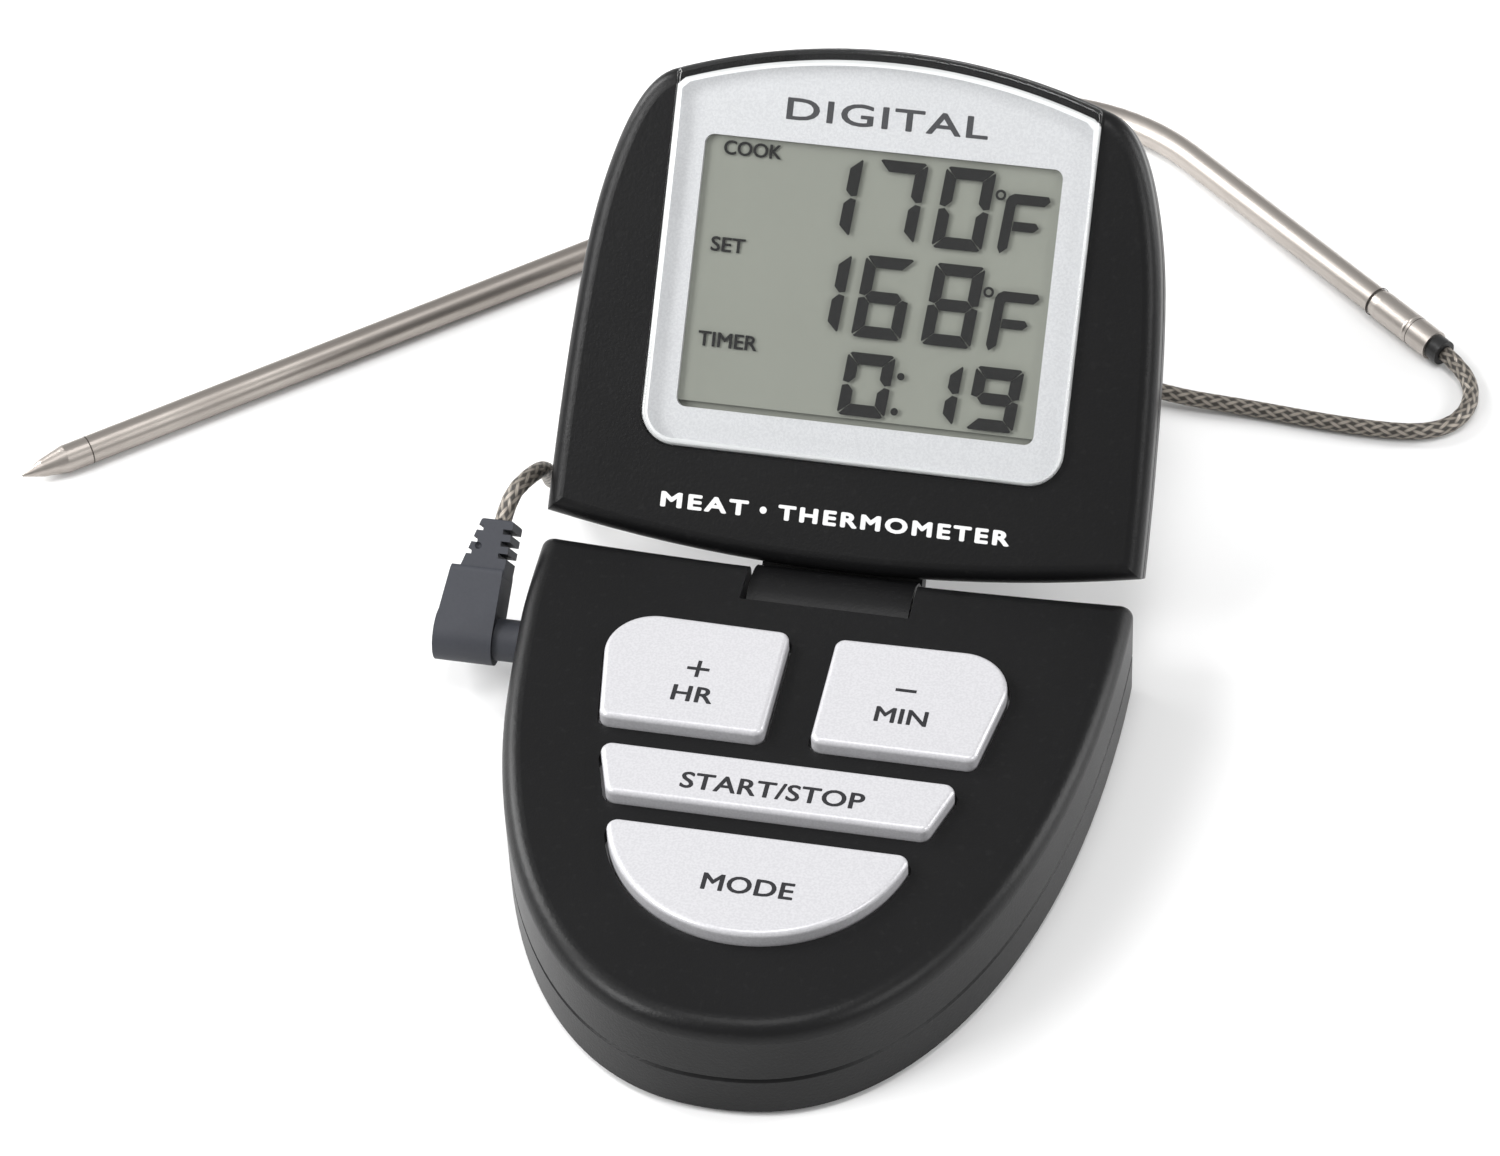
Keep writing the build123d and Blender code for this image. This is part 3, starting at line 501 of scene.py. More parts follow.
probeSteel = {
    # bright and dark tones of the long leg, painted darker as shade, and of the short one, painted
    # lighter as light
    "longLegShadedTones": (rgb(0.515, 0.475, 0.44), rgb(0.235, 0.208, 0.187)),
    "shortLegLitTones": (rgb(0.68, 0.635, 0.59), rgb(0.38, 0.345, 0.315)),
    "legs": (40.6, -41.1),  # degrees from X, of the long one and the short one
    "legChange": (0.005, 0.022),  # x in m where the long one's painted shade gives way to the short one's painted light
    "scratches": (2.2, 3, 0.6),
    "scratchStretch": (40, 900, 900),
    "bands": (130, 2, 0.5),
    "wornShares": (0.6, 0.35),  # by scratches and by bands
    "relief": (0.00001, 0.35),
    "roughness": (0.30, 0.50),
    "roughShares": (0.5, 0.5),
}


def makeProbeSteel(setup):
    # drawn stainless: long fine scratches down each leg, and duller bands round the rod
    finish = Finish("probeSteel", {"Metallic": 1.0})
    place = finish.place()
    split = finish.node("ShaderNodeSeparateXYZ", {}, {0: place})
    which = finish.spread(split, *setup["legChange"])
    along = [finish.turned(place, -leg, setup["scratchStretch"]) for leg in setup["legs"]]
    longLeg, shortLeg = (finish.noise(leg, *setup["scratches"]) for leg in along)
    scratch = longLeg * (1 - which) + shortLeg * which
    bands = finish.noise(place, *setup["bands"])
    byScratch, byBand = setup["wornShares"]
    worn = byScratch * scratch + byBand * bands
    # painted light and shade: the long leg is coloured darker and the short leg lighter, standing in for
    # how the lamps fall on each
    longLegShadedTone = finish.blend(worn, *setup["longLegShadedTones"])
    shortLegLitTone = finish.blend(worn, *setup["shortLegLitTones"])
    finish.give("Base Color", finish.blend(which, longLegShadedTone, shortLegLitTone))
    byScratch, byBand = setup["roughShares"]
    finish.rough(setup["roughness"], byScratch * scratch + byBand * bands)
    finish.relief(scratch, *setup["relief"])
    return finish.material


plugRubber = {
    "colour": rgb(0.028, 0.030, 0.038),
    "dusty": rgb(0.054, 0.057, 0.067),
    "grain": (2200, 3, 0.6),
    "dust": (210, 3, 0.6),
    "shares": (0.6, 0.3),  # by dust and by grain
    "relief": (0.00003, 0.5),
    "roughness": (0.50, 0.66),
}

sealRubber = dict(
    plugRubber, colour=rgb(0.012), dusty=rgb(0.03), grain=(1200, 3, 0.6), relief=(0.00008, 0.5),
    roughness=(0.28, 0.45))


def makeRubber(name, setup):
    # moulded rubber: fine grain, dust in broad patches
    finish = Finish(name, {"Specular IOR Level": 0.35})
    place = finish.place()
    grain = finish.noise(place, *setup["grain"])
    dust = finish.noise(place, *setup["dust"])
    byDust, byGrain = setup["shares"]
    dusty = byDust * dust + byGrain * grain
    finish.give("Base Color", finish.blend(dusty, setup["colour"], setup["dusty"]))
    finish.rough(setup["roughness"], dust)
    finish.relief(grain, *setup["relief"])
    return finish.material


braidWire = {
    "colour": rgb(0.43, 0.39, 0.34),
    "tarnishedShadedTone": rgb(0.22, 0.195, 0.165),
    # gap: painted shade, the colour of the hollows between strands
    "gap": rgb(0.035, 0.030, 0.025),
    "wires": 5,  # fine wires in a strand
    "tarnish": (700, 3, 0.6),
    "gapShadeFades": (0.45, 1.15),  # weave height where the painted shade of the gaps starts to lift, and is gone
    "tarnishAndShadeShares": (0.45, 0.2, 0.15),  # by tarnish, by painted shade in the grooves between wires, everywhere
    "wireHeight": 0.25,
    "metal": 0.75,
    "relief": (0.00012, 0.7),
    "roughness": (0.30, 0.55),
}


def makeBraid(setup, strands, lay):
    # the same weave as the mesh's relief, from its UV map: u round the lead, v along it in metres. Its
    # hollows and the grooves between wires get painted shade
    finish = Finish("braidWire", {})
    uv = finish.node("ShaderNodeTexCoord", output="UV")
    split = finish.node("ShaderNodeSeparateXYZ", {}, {0: uv}).socket.node
    around, along = (Wire(finish, split.outputs[axis]) for axis in "XY")
    climb = along * (strands / (lay * mm))
    first, second = around * strands - climb, around * strands + climb
    ridgeOne, ridgeTwo = braidRidges(first, second, Wire.cosine)
    which = ridgeOne > ridgeTwo
    height = ridgeOne.larger(ridgeTwo)
    fine = setup["wires"] * math.tau
    wires = (first * fine).cosine() * which + (second * fine).cosine() * (1 - which)
    tarnish = finish.noise(finish.place(), *setup["tarnish"])
    clearOfGapShade = finish.spread(height, *setup["gapShadeFades"])
    byTarnish, byWire, everywhere = setup["tarnishAndShadeShares"]
    tarnishAndShadeMix = byTarnish * tarnish + byWire * wires + everywhere
    tone = finish.blend(tarnishAndShadeMix, setup["colour"], setup["tarnishedShadedTone"])
    # painted shade in the hollows of the weave, where the strands sink
    finish.give("Base Color", finish.blend(clearOfGapShade, setup["gap"], tone))
    finish.give("Metallic", setup["metal"] * clearOfGapShade)
    finish.rough(setup["roughness"], tarnish)
    finish.relief(height + setup["wireHeight"] * wires, *setup["relief"])
    return finish.material


# simpler finishes: colour, second colour, metallic, roughness, grain scale, relief depth
plainFinishes = {
    "screwSteel": (rgb(0.50, 0.50, 0.51), rgb(0.36, 0.36, 0.37), 1.0, 0.34, 1500, 0.00001),
    "nickelPlate": (rgb(0.70, 0.67, 0.62), rgb(0.58, 0.55, 0.50), 1.0, 0.18, 1200, 0.000004),
    "darkPlastic": (rgb(0.020, 0.020, 0.021), rgb(0.034, 0.034, 0.034), 0.0, 0.5, 1600, 0.00002),
    "cellJacket": (rgb(0.20, 0.21, 0.23), rgb(0.16, 0.17, 0.19), 0.6, 0.3, 500, 0.00001),
    "clearFilm": (rgb(0.62, 0.63, 0.56), rgb(0.50, 0.51, 0.45), 0.0, 0.22, 700, 0.00001),
    "ribbonFilm": (rgb(0.55, 0.26, 0.05), rgb(0.40, 0.18, 0.03), 0.0, 0.25, 1400, 0.00001),
    "brassDisc": (rgb(0.62, 0.46, 0.20), rgb(0.48, 0.34, 0.14), 1.0, 0.3, 1100, 0.00001),
    "stripRubber": (rgb(0.42, 0.40, 0.44), rgb(0.16, 0.15, 0.17), 0.0, 0.6, 2600, 0.00001),
    "domeRubber": (rgb(0.55, 0.55, 0.53), rgb(0.45, 0.45, 0.43), 0.0, 0.55, 900, 0.00001),
    "beadGlass": (rgb(0.20, 0.24, 0.20), rgb(0.12, 0.15, 0.12), 0.0, 0.12, 900, 0.00001),
}


plainSetup = {
    "fine": (3, 0.55),  # detail and roughness of the grain's noise
    "broad": (2, 0.5),  # and of the patches'
    "broader": 12,  # patches to grain, in size
    "rougher": (-0.06, 0.10),  # limits of the roughness, from the one given
    "strength": 0.4,
}


def makePlain(name, colour, second, metallic, roughness, grain, depth):
    # two close tones under noise, with a matching roughness and relief
    finish = Finish(name, {"Metallic": metallic})
    place = finish.place()
    fine = finish.noise(place, grain, *plainSetup["fine"])
    broad = finish.noise(place, grain / plainSetup["broader"], *plainSetup["broad"])
    finish.give("Base Color", finish.blend(0.5 * fine + 0.5 * broad, colour, second))
    finish.rough([roughness + more for more in plainSetup["rougher"]], broad)
    finish.relief(fine, depth, plainSetup["strength"])
    return finish.material


circuitBoard = {
    "mask": (rgb(0.010, 0.075, 0.028), rgb(0.030, 0.16, 0.055)),  # over bare board and over copper
    "solder": rgb(0.55, 0.50, 0.42),
    "traces": (420, "DISTANCE_TO_EDGE"),
    "traceTurn": 45,  # degrees
    "traceEdge": (0.05, 0.09),
    "pads": 300,
    "padEdge": (0.16, 0.20),
    "padMetal": 0.8,
    "roughness": (0.32, 0.44),
    "blotches": 900,
    "relief": (0.00003, 0.6),
}


def makeCircuit(setup):
    # green solder mask raised over traces, which run along the edges of cells, and round pads
    finish = Finish("circuitBoard", {"Specular IOR Level": 0.5})
    place = finish.place()
    traces = finish.cells(finish.turned(place, setup["traceTurn"]), *setup["traces"])
    copper = finish.spread(traces, *setup["traceEdge"], 1, 0)
    pads = finish.spread(finish.cells(place, setup["pads"]), *setup["padEdge"], 1, 0)
    mask = finish.blend(copper, *setup["mask"])
    finish.give("Base Color", finish.blend(pads, mask, setup["solder"]))
    finish.give("Metallic", setup["padMetal"] * pads)
    finish.rough(setup["roughness"], finish.noise(place, setup["blotches"]))
    finish.relief(copper + pads, *setup["relief"])
    return finish.material


finishes = {
    "blackPlastic": makeBlackPlastic(blackPlastic),
    "silverPaint": makeSilverPaint("silverPaint", silverPaint),
    "litBezelPaint": makeSilverPaint("litBezelPaint", litBezelPaint),
    "clearLens": makeClearLens(clearLens),
    "edgeGleam": makeEdgeGleam(edgeGleam),
    "displayGlass": makeDisplayGlass(displayGlass),
    "probeSteel": makeProbeSteel(probeSteel),
    "plugRubber": makeRubber("plugRubber", plugRubber),
    "sealRubber": makeRubber("sealRubber", sealRubber),
    "braidWire": makeBraid(braidWire, lead["braidStrands"], lead["braidLay"]),
    "circuitBoard": makeCircuit(circuitBoard),
}
for name, values in inks.items():
    finishes[name] = makeInk(name, *values)
for name, values in plainFinishes.items():
    finishes[name] = makePlain(name, *values)

nodeFinish = {
    "blackPlastic": [
        "base_lower_shell", "base_upper_shell", "head_front_shell", "head_rear_shell", "battery_door"],
    "silverPaint": ["key_hour", "key_minute", "key_start_stop", "key_mode"],
    "litBezelPaint": ["display_bezel"],
    "clearLens": ["display_lens"],
    "displayGlass": ["lcd_panel"],
    "probeSteel": ["probe_tube", "probe_tip", "probe_sleeve"],
    "plugRubber": ["plug_body"],
    "sealRubber": ["probe_seal"],
    "circuitBoard": ["key_circuit_board", "head_circuit_board"],
    "screwSteel": ["base_screws", "head_screws", "hinge_pins"],
    "nickelPlate": ["battery_contacts", "plug_pin", "plug_tip"],
    "darkPlastic": ["buzzer", "probe_jack", "lcd_holder", "plug_insulator", "display_driver"],
    "cellJacket": ["battery_cell"],
    "clearFilm": ["key_membrane"],
    "ribbonFilm": ["base_ribbon", "head_ribbon"],
    "brassDisc": ["buzzer_disc"],
    "stripRubber": ["lcd_connector"],
    "domeRubber": ["dome_hour", "dome_minute", "dome_start_stop", "dome_mode"],
    "beadGlass": ["thermistor"],
    "braidWire": ["plug_cord", "probe_cord", "cord_coil"],
}
for name, members in nodeFinish.items():
    for member in members:
        nodes[member].data.materials.clear()
        nodes[member].data.materials.append(finishes[name])
print("finishes given to", sum(len(m) for m in nodeFinish.values()), "nodes")


def makeLead(setup):
    # a ring of radius (1 - relief + relief x weave height) swept along the line
    columns = setup["columns"]
    _, side, up = sweptFrame(leadLine)
    around = np.arange(columns) / columns
    climb = (leadRun / (setup["braidLay"] * mm) * setup["braidStrands"])[:, None]
    strand = setup["braidStrands"] * around[None, :]
    weave = np.maximum(*braidRidges(strand - climb, strand + climb, np.cos))
    depth = setup["braidRelief"]
    radius = setup["radius"] * mm * (1 - depth + depth * np.clip(weave / setup["braidTop"], 0, 1))
    ring = np.cos(around * math.tau)[None, :, None] * side[:, None, :]
    ring = ring + np.sin(around * math.tau)[None, :, None] * up[:, None, :]
    verts = leadLine[:, None, :] + radius[:, :, None] * ring
    piece = newPiece(
        "leadBraid", verts, tubeFaces(len(leadLine), columns), finishes["braidWire"],
        "probe_lead")
    mesh = piece.data
    layer = mesh.uv_layers.new(name="along")
    owner = np.empty(len(mesh.loops), dtype=np.int32)
    mesh.loops.foreach_get("vertex_index", owner)
    row, column = owner // columns, owner % columns
    # the last column's quads close at u = 1, not at 0
    face = np.repeat(np.arange(len(mesh.polygons)), [p.loop_total for p in mesh.polygons])
    closing = (face % columns == columns - 1) & (column == 0) & (face < (len(leadLine) - 1) * columns)
    u = (column + columns * closing) / columns
    layer.data.foreach_set("uv", np.column_stack([u, leadRun[row]]).ravel())
    return piece


leadBraid = makeLead(lead)
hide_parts("plug_cord", "cord_coil", "probe_cord")
print("lead made")


# fine rings on the probe: a dark joint at the tip, and the sleeve's start and crimp
probeRings = {
    "point": (-112.3, 50.0),
    "elbow": (10.7, 155.4),
    "end": (68.05, 105.35),
    "height": 2.05,
    "columns": 40,
    # along the axis in half lengths, and out from the radius in mm
    "profile": [(-1.0, -0.06), (-0.7, 0.0), (0.7, 0.0), (1.0, -0.06)],
    # from which end, how far along in mm, radius, half length, finish, slot
    "rings": [
        ("point", 9.6, 1.915, 0.11, "probeJoint", "dark_ink"),
        ("end", 11.3, 2.09, 0.14, "probeJoint", "dark_ink"),
        ("end", 3.6, 2.065, 0.07, "probeJoint", "dark_ink"),
        ("end", 4.3, 2.085, 0.30, "probeSteel", "probe_steel"),
    ],
}


def makeProbeRings(setup):
    # a short tube round the rod's axis with a rounded profile and open ends
    columns, profile = setup["columns"], setup["profile"]
    around = np.arange(columns) / columns * math.tau
    elbow = np.array([*setup["elbow"], setup["height"]])
    for index, (end, far, radius, half, ink, slot) in enumerate(setup["rings"]):
        start = np.array([*setup[end], setup["height"]])
        axis = (elbow - start) / np.linalg.norm(elbow - start)
        side = np.cross(axis, [0, 0, 1.0])
        ring = np.cos(around)[:, None] * side + np.sin(around)[:, None] * np.array([0, 0, 1.0])
        rows = [start + axis * (far + half * a) + ring * (radius + b) for a, b in profile]
        newPiece(
            "probeRing" + str(index), np.stack(rows) * mm, tubeFaces(len(profile), columns)[:-2],
            finishes[ink], "probe_lead")


makeProbeRings(probeRings)


# rubber domes under the keys, made at rest, though real ones flatten as a key goes down
domes = {
    "places": {
        "hour": (-13.4, 7.8), "minute": (13.4, 7.8), "start_stop": (0.0, -1.5), "mode": (0.0, -15.5),
    },
    "height": 9.8,  # of the board that they stand on
    "tall": 2.7,
    "travel": 0.7,
    "columns": 36,
    # radius and height, from the hollow's middle round the foot to the top's middle
    "profile": [
        (0.02, 1.9), (1.2, 1.9), (1.45, 1.7), (2.5, 0.25), (2.6, 0.0), (3.2, 0.0), (3.2, 0.3),
        (3.05, 0.45), (2.75, 0.62), (2.0, 2.1), (1.88, 2.55), (1.7, 2.7), (0.02, 2.7),
    ],
}


def makeDomes(setup):
    # the profile turned about an upright axis: (r cos a, r sin a, z)
    around = np.arange(setup["columns"]) / setup["columns"] * math.tau
    radius, rise = np.array(setup["profile"]).T[:, :, None]
    for name, (x, y) in setup["places"].items():
        verts = onTable(
            x + radius * np.cos(around), y + radius * np.sin(around), setup["height"] + rise)
        piece = newPiece(
            "rubberDome_" + name, verts, tubeFaces(len(radius), len(around)),
            finishes["domeRubber"], "base")
        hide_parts("dome_" + name)
        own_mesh(piece)


makeDomes(domes)


# painted highlight: a white strip standing in for the bright line in the lens's rounded edge
lensEdgeHighlight = {
    "half": 27.0,
    "foot": 20.6,
    "corner": 4.5,
    "archRadius": 79.35,
    "archCentre": -8.0,
    "archCorner": 0.9,
    "steps": (14, 8, 9),  # points along half of the arch, a side and a corner
    "sideGap": 0.5,  # mm between a side's last point and its corner
    "profile": [(0.10, 2.5), (0.22, 3.15), (0.5, 3.5), (1.0, 3.7)],  # inset, w
    "narrow": 0.55,  # share of the inset away from the left side
    "fade": (-20.0, -8.0),  # x where the narrow line takes over from the wide one
    "archAbove": 60.0,  # v of the arch, and the narrow line's share there
    "archShare": 0.25,
}


def edgeLine(setup, inset):
    # from the arch's middle down the left side, round the foot and up the right side to it again
    half, foot, corner = setup["half"] - inset, setup["foot"] + inset, setup["corner"] - inset
    archSteps, sideSteps, cornerSteps = setup["steps"]
    acrossTop = np.linspace(0, setup["archCorner"] - half, archSteps)
    arch = setup["archCentre"] + np.sqrt((setup["archRadius"] - inset) ** 2 - acrossTop ** 2)
    top = np.column_stack([acrossTop, arch])
    sideTop, sideFoot = arch[-1] - setup["archCorner"], foot + corner + setup["sideGap"]
    left = np.column_stack([np.full(sideSteps, -half), np.linspace(sideTop, sideFoot, sideSteps)])
    angle = np.radians(np.linspace(180, 270, cornerSteps))
    turn = np.column_stack([corner * np.cos(angle), corner * np.sin(angle)])
    turn = turn + (corner - half, foot + corner)
    outline = np.vstack([top, left, turn])
    return np.vstack([outline, (outline * (-1, 1))[::-1]])


def makeLensEdgeHighlight(setup):
    # the painted highlight: a strip through the profile's insets, each between its wide line and its
    # narrow one
    fadeFrom, fadeTo = setup["fade"]
    rows = []
    for inset, w in setup["profile"]:
        wide, slim = edgeLine(setup, inset), edgeLine(setup, inset * setup["narrow"])
        share = np.clip((wide[:, :1] - fadeFrom) / (fadeTo - fadeFrom), 0, 1)
        share = np.where(wide[:, 1:] > setup["archAbove"], setup["archShare"], share)
        line = wide * (1 - share) + slim * share
        rows.append(onHead(line[:, 0], line[:, 1], w))
    verts = np.stack(rows, axis=1)
    count, across = verts.shape[:2]
    row, column = np.meshgrid(np.arange(count - 1), np.arange(across - 1), indexing="ij")
    start = (row * across + column).ravel()
    faces = np.column_stack([start, start + across, start + across + 1, start + 1])
    newPiece("lensEdgeHighlight", verts, faces.tolist(), finishes["edgeGleam"], "head")


makeLensEdgeHighlight(lensEdgeHighlight)


lettering = {
    "curveSteps": 4,
    "copies": 8,
    "flatter": 0.7,  # how far a copy moves up or down, as a share of its move sideways
    "lift": 0.0015,  # mm between copies
}


def flatText(words, height, width, spacing):
    # built-in letters as a flat mesh, stretched to the cap height and the whole width, in mm
    curve = bpy.data.curves.new("words", "FONT")
    curve.body = words
    curve.align_x = "CENTER"
    curve.space_character = spacing
    curve.resolution_u = lettering["curveSteps"]
    co, faces = readCurve(curve)
    low, high = co.min(axis=0), co.max(axis=0)
    co[:, 0] = (co[:, 0] - (low[0] + high[0]) / 2) * (width / (high[0] - low[0]))
    co[:, 1] = (co[:, 1] - low[1]) * (height / (high[1] - low[1]))
    return co, faces


def thickened(co, faces, reach):
    # bolder letters: copies moved reach all round, each a little above the last
    copies, flatter = lettering["copies"], lettering["flatter"]
    angle = np.arange(copies) / copies * math.tau
    moves = [(reach * math.cos(a), reach * math.sin(a) * flatter, 0) for a in angle]
    layers = [co + move for move in [(0, 0, 0)] + moves]
    lift = np.repeat(np.arange(len(layers)) * lettering["lift"], len(co))
    joined = [[i + k * len(co) for i in face] for k in range(len(layers)) for face in faces]
    return np.vstack(layers), joined, lift


# words: centre x, baseline y, cap height, whole width
keyLegends = {
    "hour": ("HR", -12.6, 10.45, 2.5, 5.0, "hour_key"),
    "minute": ("MIN", 13.2, 11.05, 2.4, 6.3, "minute_key"),
    "startStop": ("START/STOP", 0.2, -3.6, 2.55, 22.3, "start_stop_key"),
    "mode": ("MODE", 0.4, -19.1, 2.55, 10.9, "mode_key"),
}
legendSetup = {
    "height": 17.31,
    "thicken": 0.09,
    "spacing": 1.05,
    "bar": (1.4, 0.25),  # half length and half width
    "plus": (-12.8, 16.0),
    "minus": (13.0, 16.6),
    "minusLength": 0.93,  # of the plus's bar
}


def makeLegend(name, verts, faces, body):
    newPiece("legend_" + name, verts, faces, finishes["legendInk"], body, False)


def makeKeyLegends(setup):
    top = setup["height"]
    for name, (words, x, y, tall, wide, body) in keyLegends.items():
        co, faces = flatText(words, tall, wide, setup["spacing"])
        co, faces, lift = thickened(co, faces, setup["thicken"])
        makeLegend(name, onTable(co[:, 0] + x, co[:, 1] + y, top + lift), faces, body)
    # plus and minus: bars of half length a and half width b about a centre
    a, b = setup["bar"]
    cross = setup["plus"] + np.array([
        (-b, -a), (b, -a), (b, -b), (b, b), (b, a), (-b, a),
        (-b, b), (-b, -b), (-a, -b), (a, -b), (a, b), (-a, b),
    ])
    faces = [(0, 1, 2, 7), (6, 3, 4, 5), (8, 7, 6, 11), (2, 9, 10, 3), (7, 2, 3, 6)]
    makeLegend("plus", onTable(cross[:, 0], cross[:, 1], top), faces, "hour_key")
    bar = np.array([(-a, -b), (a, -b), (a, b), (-a, b)]) * (setup["minusLength"], 1)
    bar = bar + setup["minus"]
    makeLegend("minus", onTable(bar[:, 0], bar[:, 1], top), [(0, 1, 2, 3)], "minute_key")


makeKeyLegends(legendSetup)

# words on the head: text, centre x, baseline v, w, cap height, width, thickening, spacing, finish, slot
headWords = {
    "line_one": ("MEAT", -17.6, 12.95, 2.41, 1.75, 11.0, 0.15, 1.25, "whiteInk", "white_ink"),
    "line_two": ("THERMOMETER", 6.6, 12.95, 2.41, 1.75, 29.2, 0.15, 1.25, "whiteInk", "white_ink"),
    "name": ("DIGITAL", 0.0, 63.0, 1.86, 2.7, 25.5, 0.09, 1.1, "nameInk", "dark_ink"),
    "cook": ("COOK", -16.7, 57.85, 1.2, 1.75, 7.3, 0.06, 1.0, "displayInk", "dark_ink"),
    "set": ("SET", -18.5, 45.6, 1.2, 1.8, 4.3, 0.06, 1.0, "displayInk", "dark_ink"),
    "timer": ("TIMER", -17.2, 33.6, 1.2, 1.8, 7.5, 0.06, 1.0, "displayInk", "dark_ink"),
}
headDot = {"place": (-10.05, 13.85), "radius": 0.45, "w": 2.41, "corners": 20}


def flatOnHead(name, points, w, faces, ink):
    # points x and v at height w
    points = np.asarray(points)
    place = onHead(points[:, 0], points[:, 1], w)
    newPiece(name, place, faces, finishes[ink], "head", False)


def makeHeadWords(dot):
    for name, (words, x, v, w, tall, wide, reach, spacing, ink, slot) in headWords.items():
        co, faces = flatText(words, tall, wide, spacing)
        co, faces, lift = thickened(co, faces, reach)
        flatOnHead("words_" + name, co[:, :2] + (x, v), w + lift, faces, ink)
    # a round dot between the two words
    disc = roundShape(*dot["place"], dot["radius"], dot["corners"])
    flatOnHead("words_dot", disc, dot["w"], [list(range(len(disc)))], "whiteInk")


makeHeadWords(headDot)


# the display's segments, in mm: corner is what an outer corner loses, w the height above the face
digitShape = {"bar": 1.5, "gap": 0.09, "corner": 0.42, "slant": 0.085, "w": 1.5}
segmentsOf = {
    "0": "abcdef", "1": "bc", "6": "acdefg", "7": "abc", "8": "abcdefg", "9": "abcdfg",
}
# rows: top, bottom, digit width, and each digit with its right edge at the row's middle
displayRows = [
    {"top": 59.25, "bottom": 48.95, "width": 6.35, "digits": [("1", -2.85), ("7", 5.4), ("0", 14.0)]},
    {"top": 47.15, "bottom": 36.8, "width": 6.35, "digits": [("1", -2.95), ("6", 5.15), ("8", 14.0)]},
    {"top": 34.9, "bottom": 26.9, "width": 6.1, "digits": [("0", 4.1), ("1", 12.75), ("9", 20.4)]},
]
# the letter F after the two temperatures: left edge, feet, half height, and its three bars
letterF = {
    "x": 15.75,
    "bottoms": (49.1, 36.9),
    "middle": 3.8,
    "bars": [
        [(0.45, 0), (1.3, 0.75), (1.3, 6.1), (1.45, 6.3), (1.45, 7.6), (0.9, 7.6), (0.25, 7.2), (0, 6.6),
         (0, 0.75)],
        [(1.45, 7.6), (1.45, 6.3), (4.9, 6.3), (5.55, 7.0), (5.2, 7.6)],
        [(1.42, 4.15), (1.42, 2.95), (4.1, 2.95), (4.75, 3.55), (4.25, 4.15)],
    ],
}
timerDots = {"places": ((5.28, 32.45), (4.94, 27.99)), "radius": 0.48, "corners": 16}
degreeRings = {"places": ((15.25, 56.35), (15.1, 44.15)), "radii": (0.68, 0.36), "corners": 24}


def flipped(shape, width=None, height=None):
    # mirrored left to right in the box's width, or top to bottom in its height, or both
    return [(x if width is None else width - x, y if height is None else height - y) for x, y in shape]


def segmentOutlines(width, height):
    # seven bars with mitred ends inside a box from 0 to width and 0 to height
    t, g, corner = digitShape["bar"], digitShape["gap"], digitShape["corner"]
    h, half = height / 2, t / 2
    slope = corner * 0.4  # the cut corners and mitres, as shares of the corner and the gap
    drop = corner * 0.45
    top = [
        (corner + g, height), (width - corner - g, height), (width - g - slope, height - drop),
        (width - t - g * 0.2, height - t), (t + g * 0.2, height - t), (g + slope, height - drop),
    ]
    right = [
        (width - corner * 0.35, height - corner * 0.8), (width, height - corner - g),
        (width, h + half * 0.35), (width - half, h + g), (width - t, h + half + g),
        (width - t, height - t - g * 0.6),
    ]
    middle = [
        (half + g, h), (t + g * 0.4, h + half), (width - t - g * 0.4, h + half),
        (width - half - g, h), (width - t - g * 0.4, h - half), (t + g * 0.4, h - half),
    ]
    return {
        "a": top, "b": right, "c": flipped(right, height=height), "d": flipped(top, height=height),
        "e": flipped(right, width, height), "f": flipped(right, width), "g": middle,
    }


def displayPiece(name, points, faces):
    flatOnHead(name, points, digitShape["w"], faces, "displayInk")


def addShapes(name, shapes):
    # polygons in the head's plane, turned so that they face out of it
    verts, faces = [], []
    for shape in shapes:
        shape = np.asarray(shape, float)
        nextOne = np.roll(shape, -1, axis=0)
        area = np.sum(shape[:, 0] * nextOne[:, 1] - nextOne[:, 0] * shape[:, 1])
        if area < 0:
            shape = shape[::-1]
        faces.append(list(range(len(verts), len(verts) + len(shape))))
        verts.extend(shape.tolist())
    displayPiece(name, verts, faces)


def slanted(shape, x, bottom, middle):
    # x + (y - middle) slant
    return [(x + px + (bottom + py - middle) * digitShape["slant"], bottom + py) for px, py in shape]


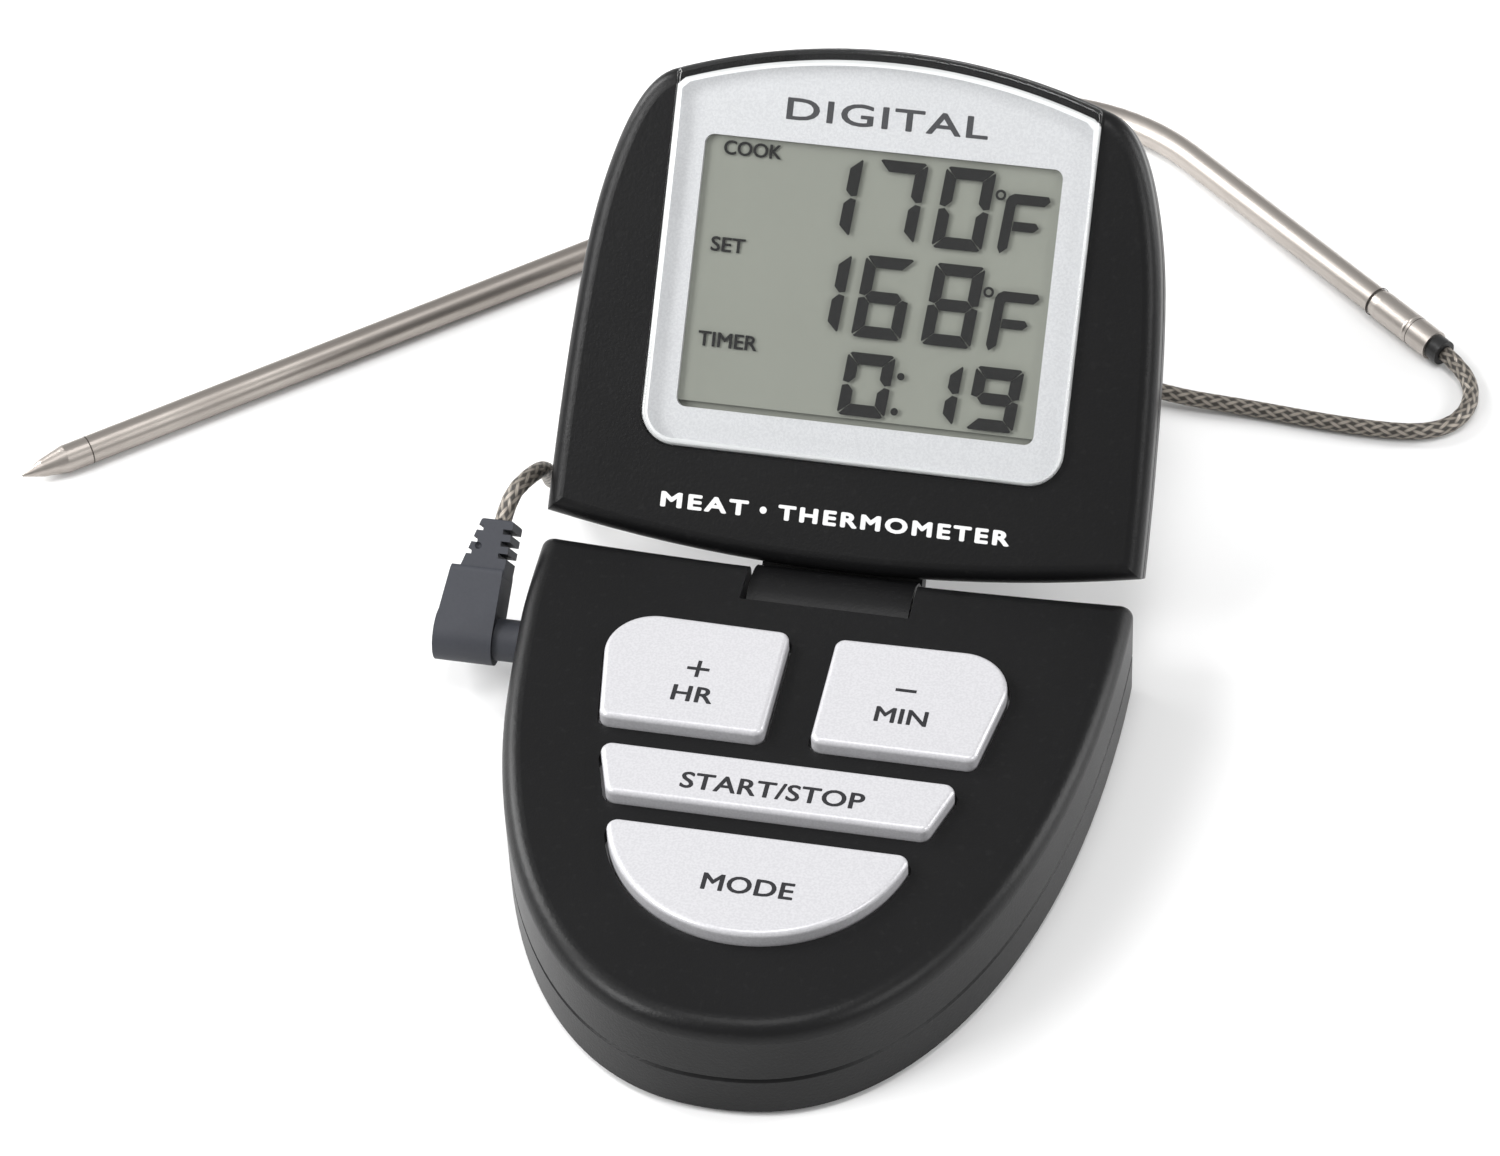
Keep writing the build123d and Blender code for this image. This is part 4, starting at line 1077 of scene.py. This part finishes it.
def makeDisplay():
    shapes = []
    for row in displayRows:
        bottom, tall = row["bottom"], row["top"] - row["bottom"]
        outlines = segmentOutlines(row["width"], tall)
        for digit, rightEdge in row["digits"]:
            left = rightEdge - row["width"]
            for segment in segmentsOf[digit]:
                shapes.append(slanted(outlines[segment], left, bottom, bottom + tall / 2))
    for bottom in letterF["bottoms"]:
        for bar in letterF["bars"]:
            shapes.append(slanted(bar, letterF["x"], bottom, bottom + letterF["middle"]))
    for x, y in timerDots["places"]:
        shapes.append(roundShape(x, y, timerDots["radius"], timerDots["corners"]))
    addShapes("displaySegments", shapes)
    # degree rings: a band between two circles
    count = degreeRings["corners"]
    verts, faces = [], []
    for x, y in degreeRings["places"]:
        outer = len(verts) + np.arange(count)
        inner = outer + count
        for radius in degreeRings["radii"]:
            verts += roundShape(x, y, radius, count).tolist()
        band = np.column_stack([outer, np.roll(outer, -1), np.roll(inner, -1), inner])
        faces += band.tolist()
    displayPiece("displayDegrees", verts, faces)


makeDisplay()
print("lettering and display made")


# floor and light, in m and watts
studio = {
    "floorHalf": 4.0,
    "floor": {"Base Color": rgb(0.88), "Roughness": 0.9, "Specular IOR Level": 0.1},
    "world": 0.42,
    "lights": {
        # place, size, watts
        "leftRim": ((-0.85, 0.40, 0.50), (0.3, 0.6), 8.0),
        "frontLeft": ((-0.85, -0.45, 0.80), (0.6, 0.6), 12.0),
        "frontRight": ((1.05, -0.30, 0.75), (0.5, 0.5), 4.8),
        "topBox": ((0.05, -0.05, 1.3), (0.5, 0.5), 5.0),
        "rightRim": ((0.85, 0.50, 0.30), (0.3, 0.6), 4.0),
    },
    "aim": (-0.01, 0.045, 0.02),
}


def makeStudio(setup):
    half = setup["floorHalf"]
    corners = [(-half, -half, 0), (half, -half, 0), (half, half, 0), (-half, half, 0)]
    mesh = bpy.data.meshes.new("floor")
    mesh.from_pydata(corners, [], [(0, 1, 2, 3)])
    mesh.materials.append(Finish("floorPaper", setup["floor"]).material)
    floor = bpy.data.objects.new("floor", mesh)
    link(floor)
    world = bpy.data.worlds.new("studio")
    world.use_nodes = True
    background = world.node_tree.nodes["Background"]
    background.inputs["Color"].default_value = rgb(1.0)
    background.inputs["Strength"].default_value = setup["world"]
    bpy.context.scene.world = world
    for name, (place, (wide, deep), watts) in setup["lights"].items():
        data = bpy.data.lights.new(name, "AREA")
        data.shape = "RECTANGLE"
        data.size, data.size_y = wide, deep
        data.energy = watts
        light = bpy.data.objects.new(name, data)
        light.location = place
        aim = Vector(setup["aim"]) - Vector(place)
        light.rotation_euler = aim.to_track_quat("-Z", "Y").to_euler()
        link(light)
    bpy.context.scene.view_settings.view_transform = "Standard"


makeStudio(studio)
print("studio set")
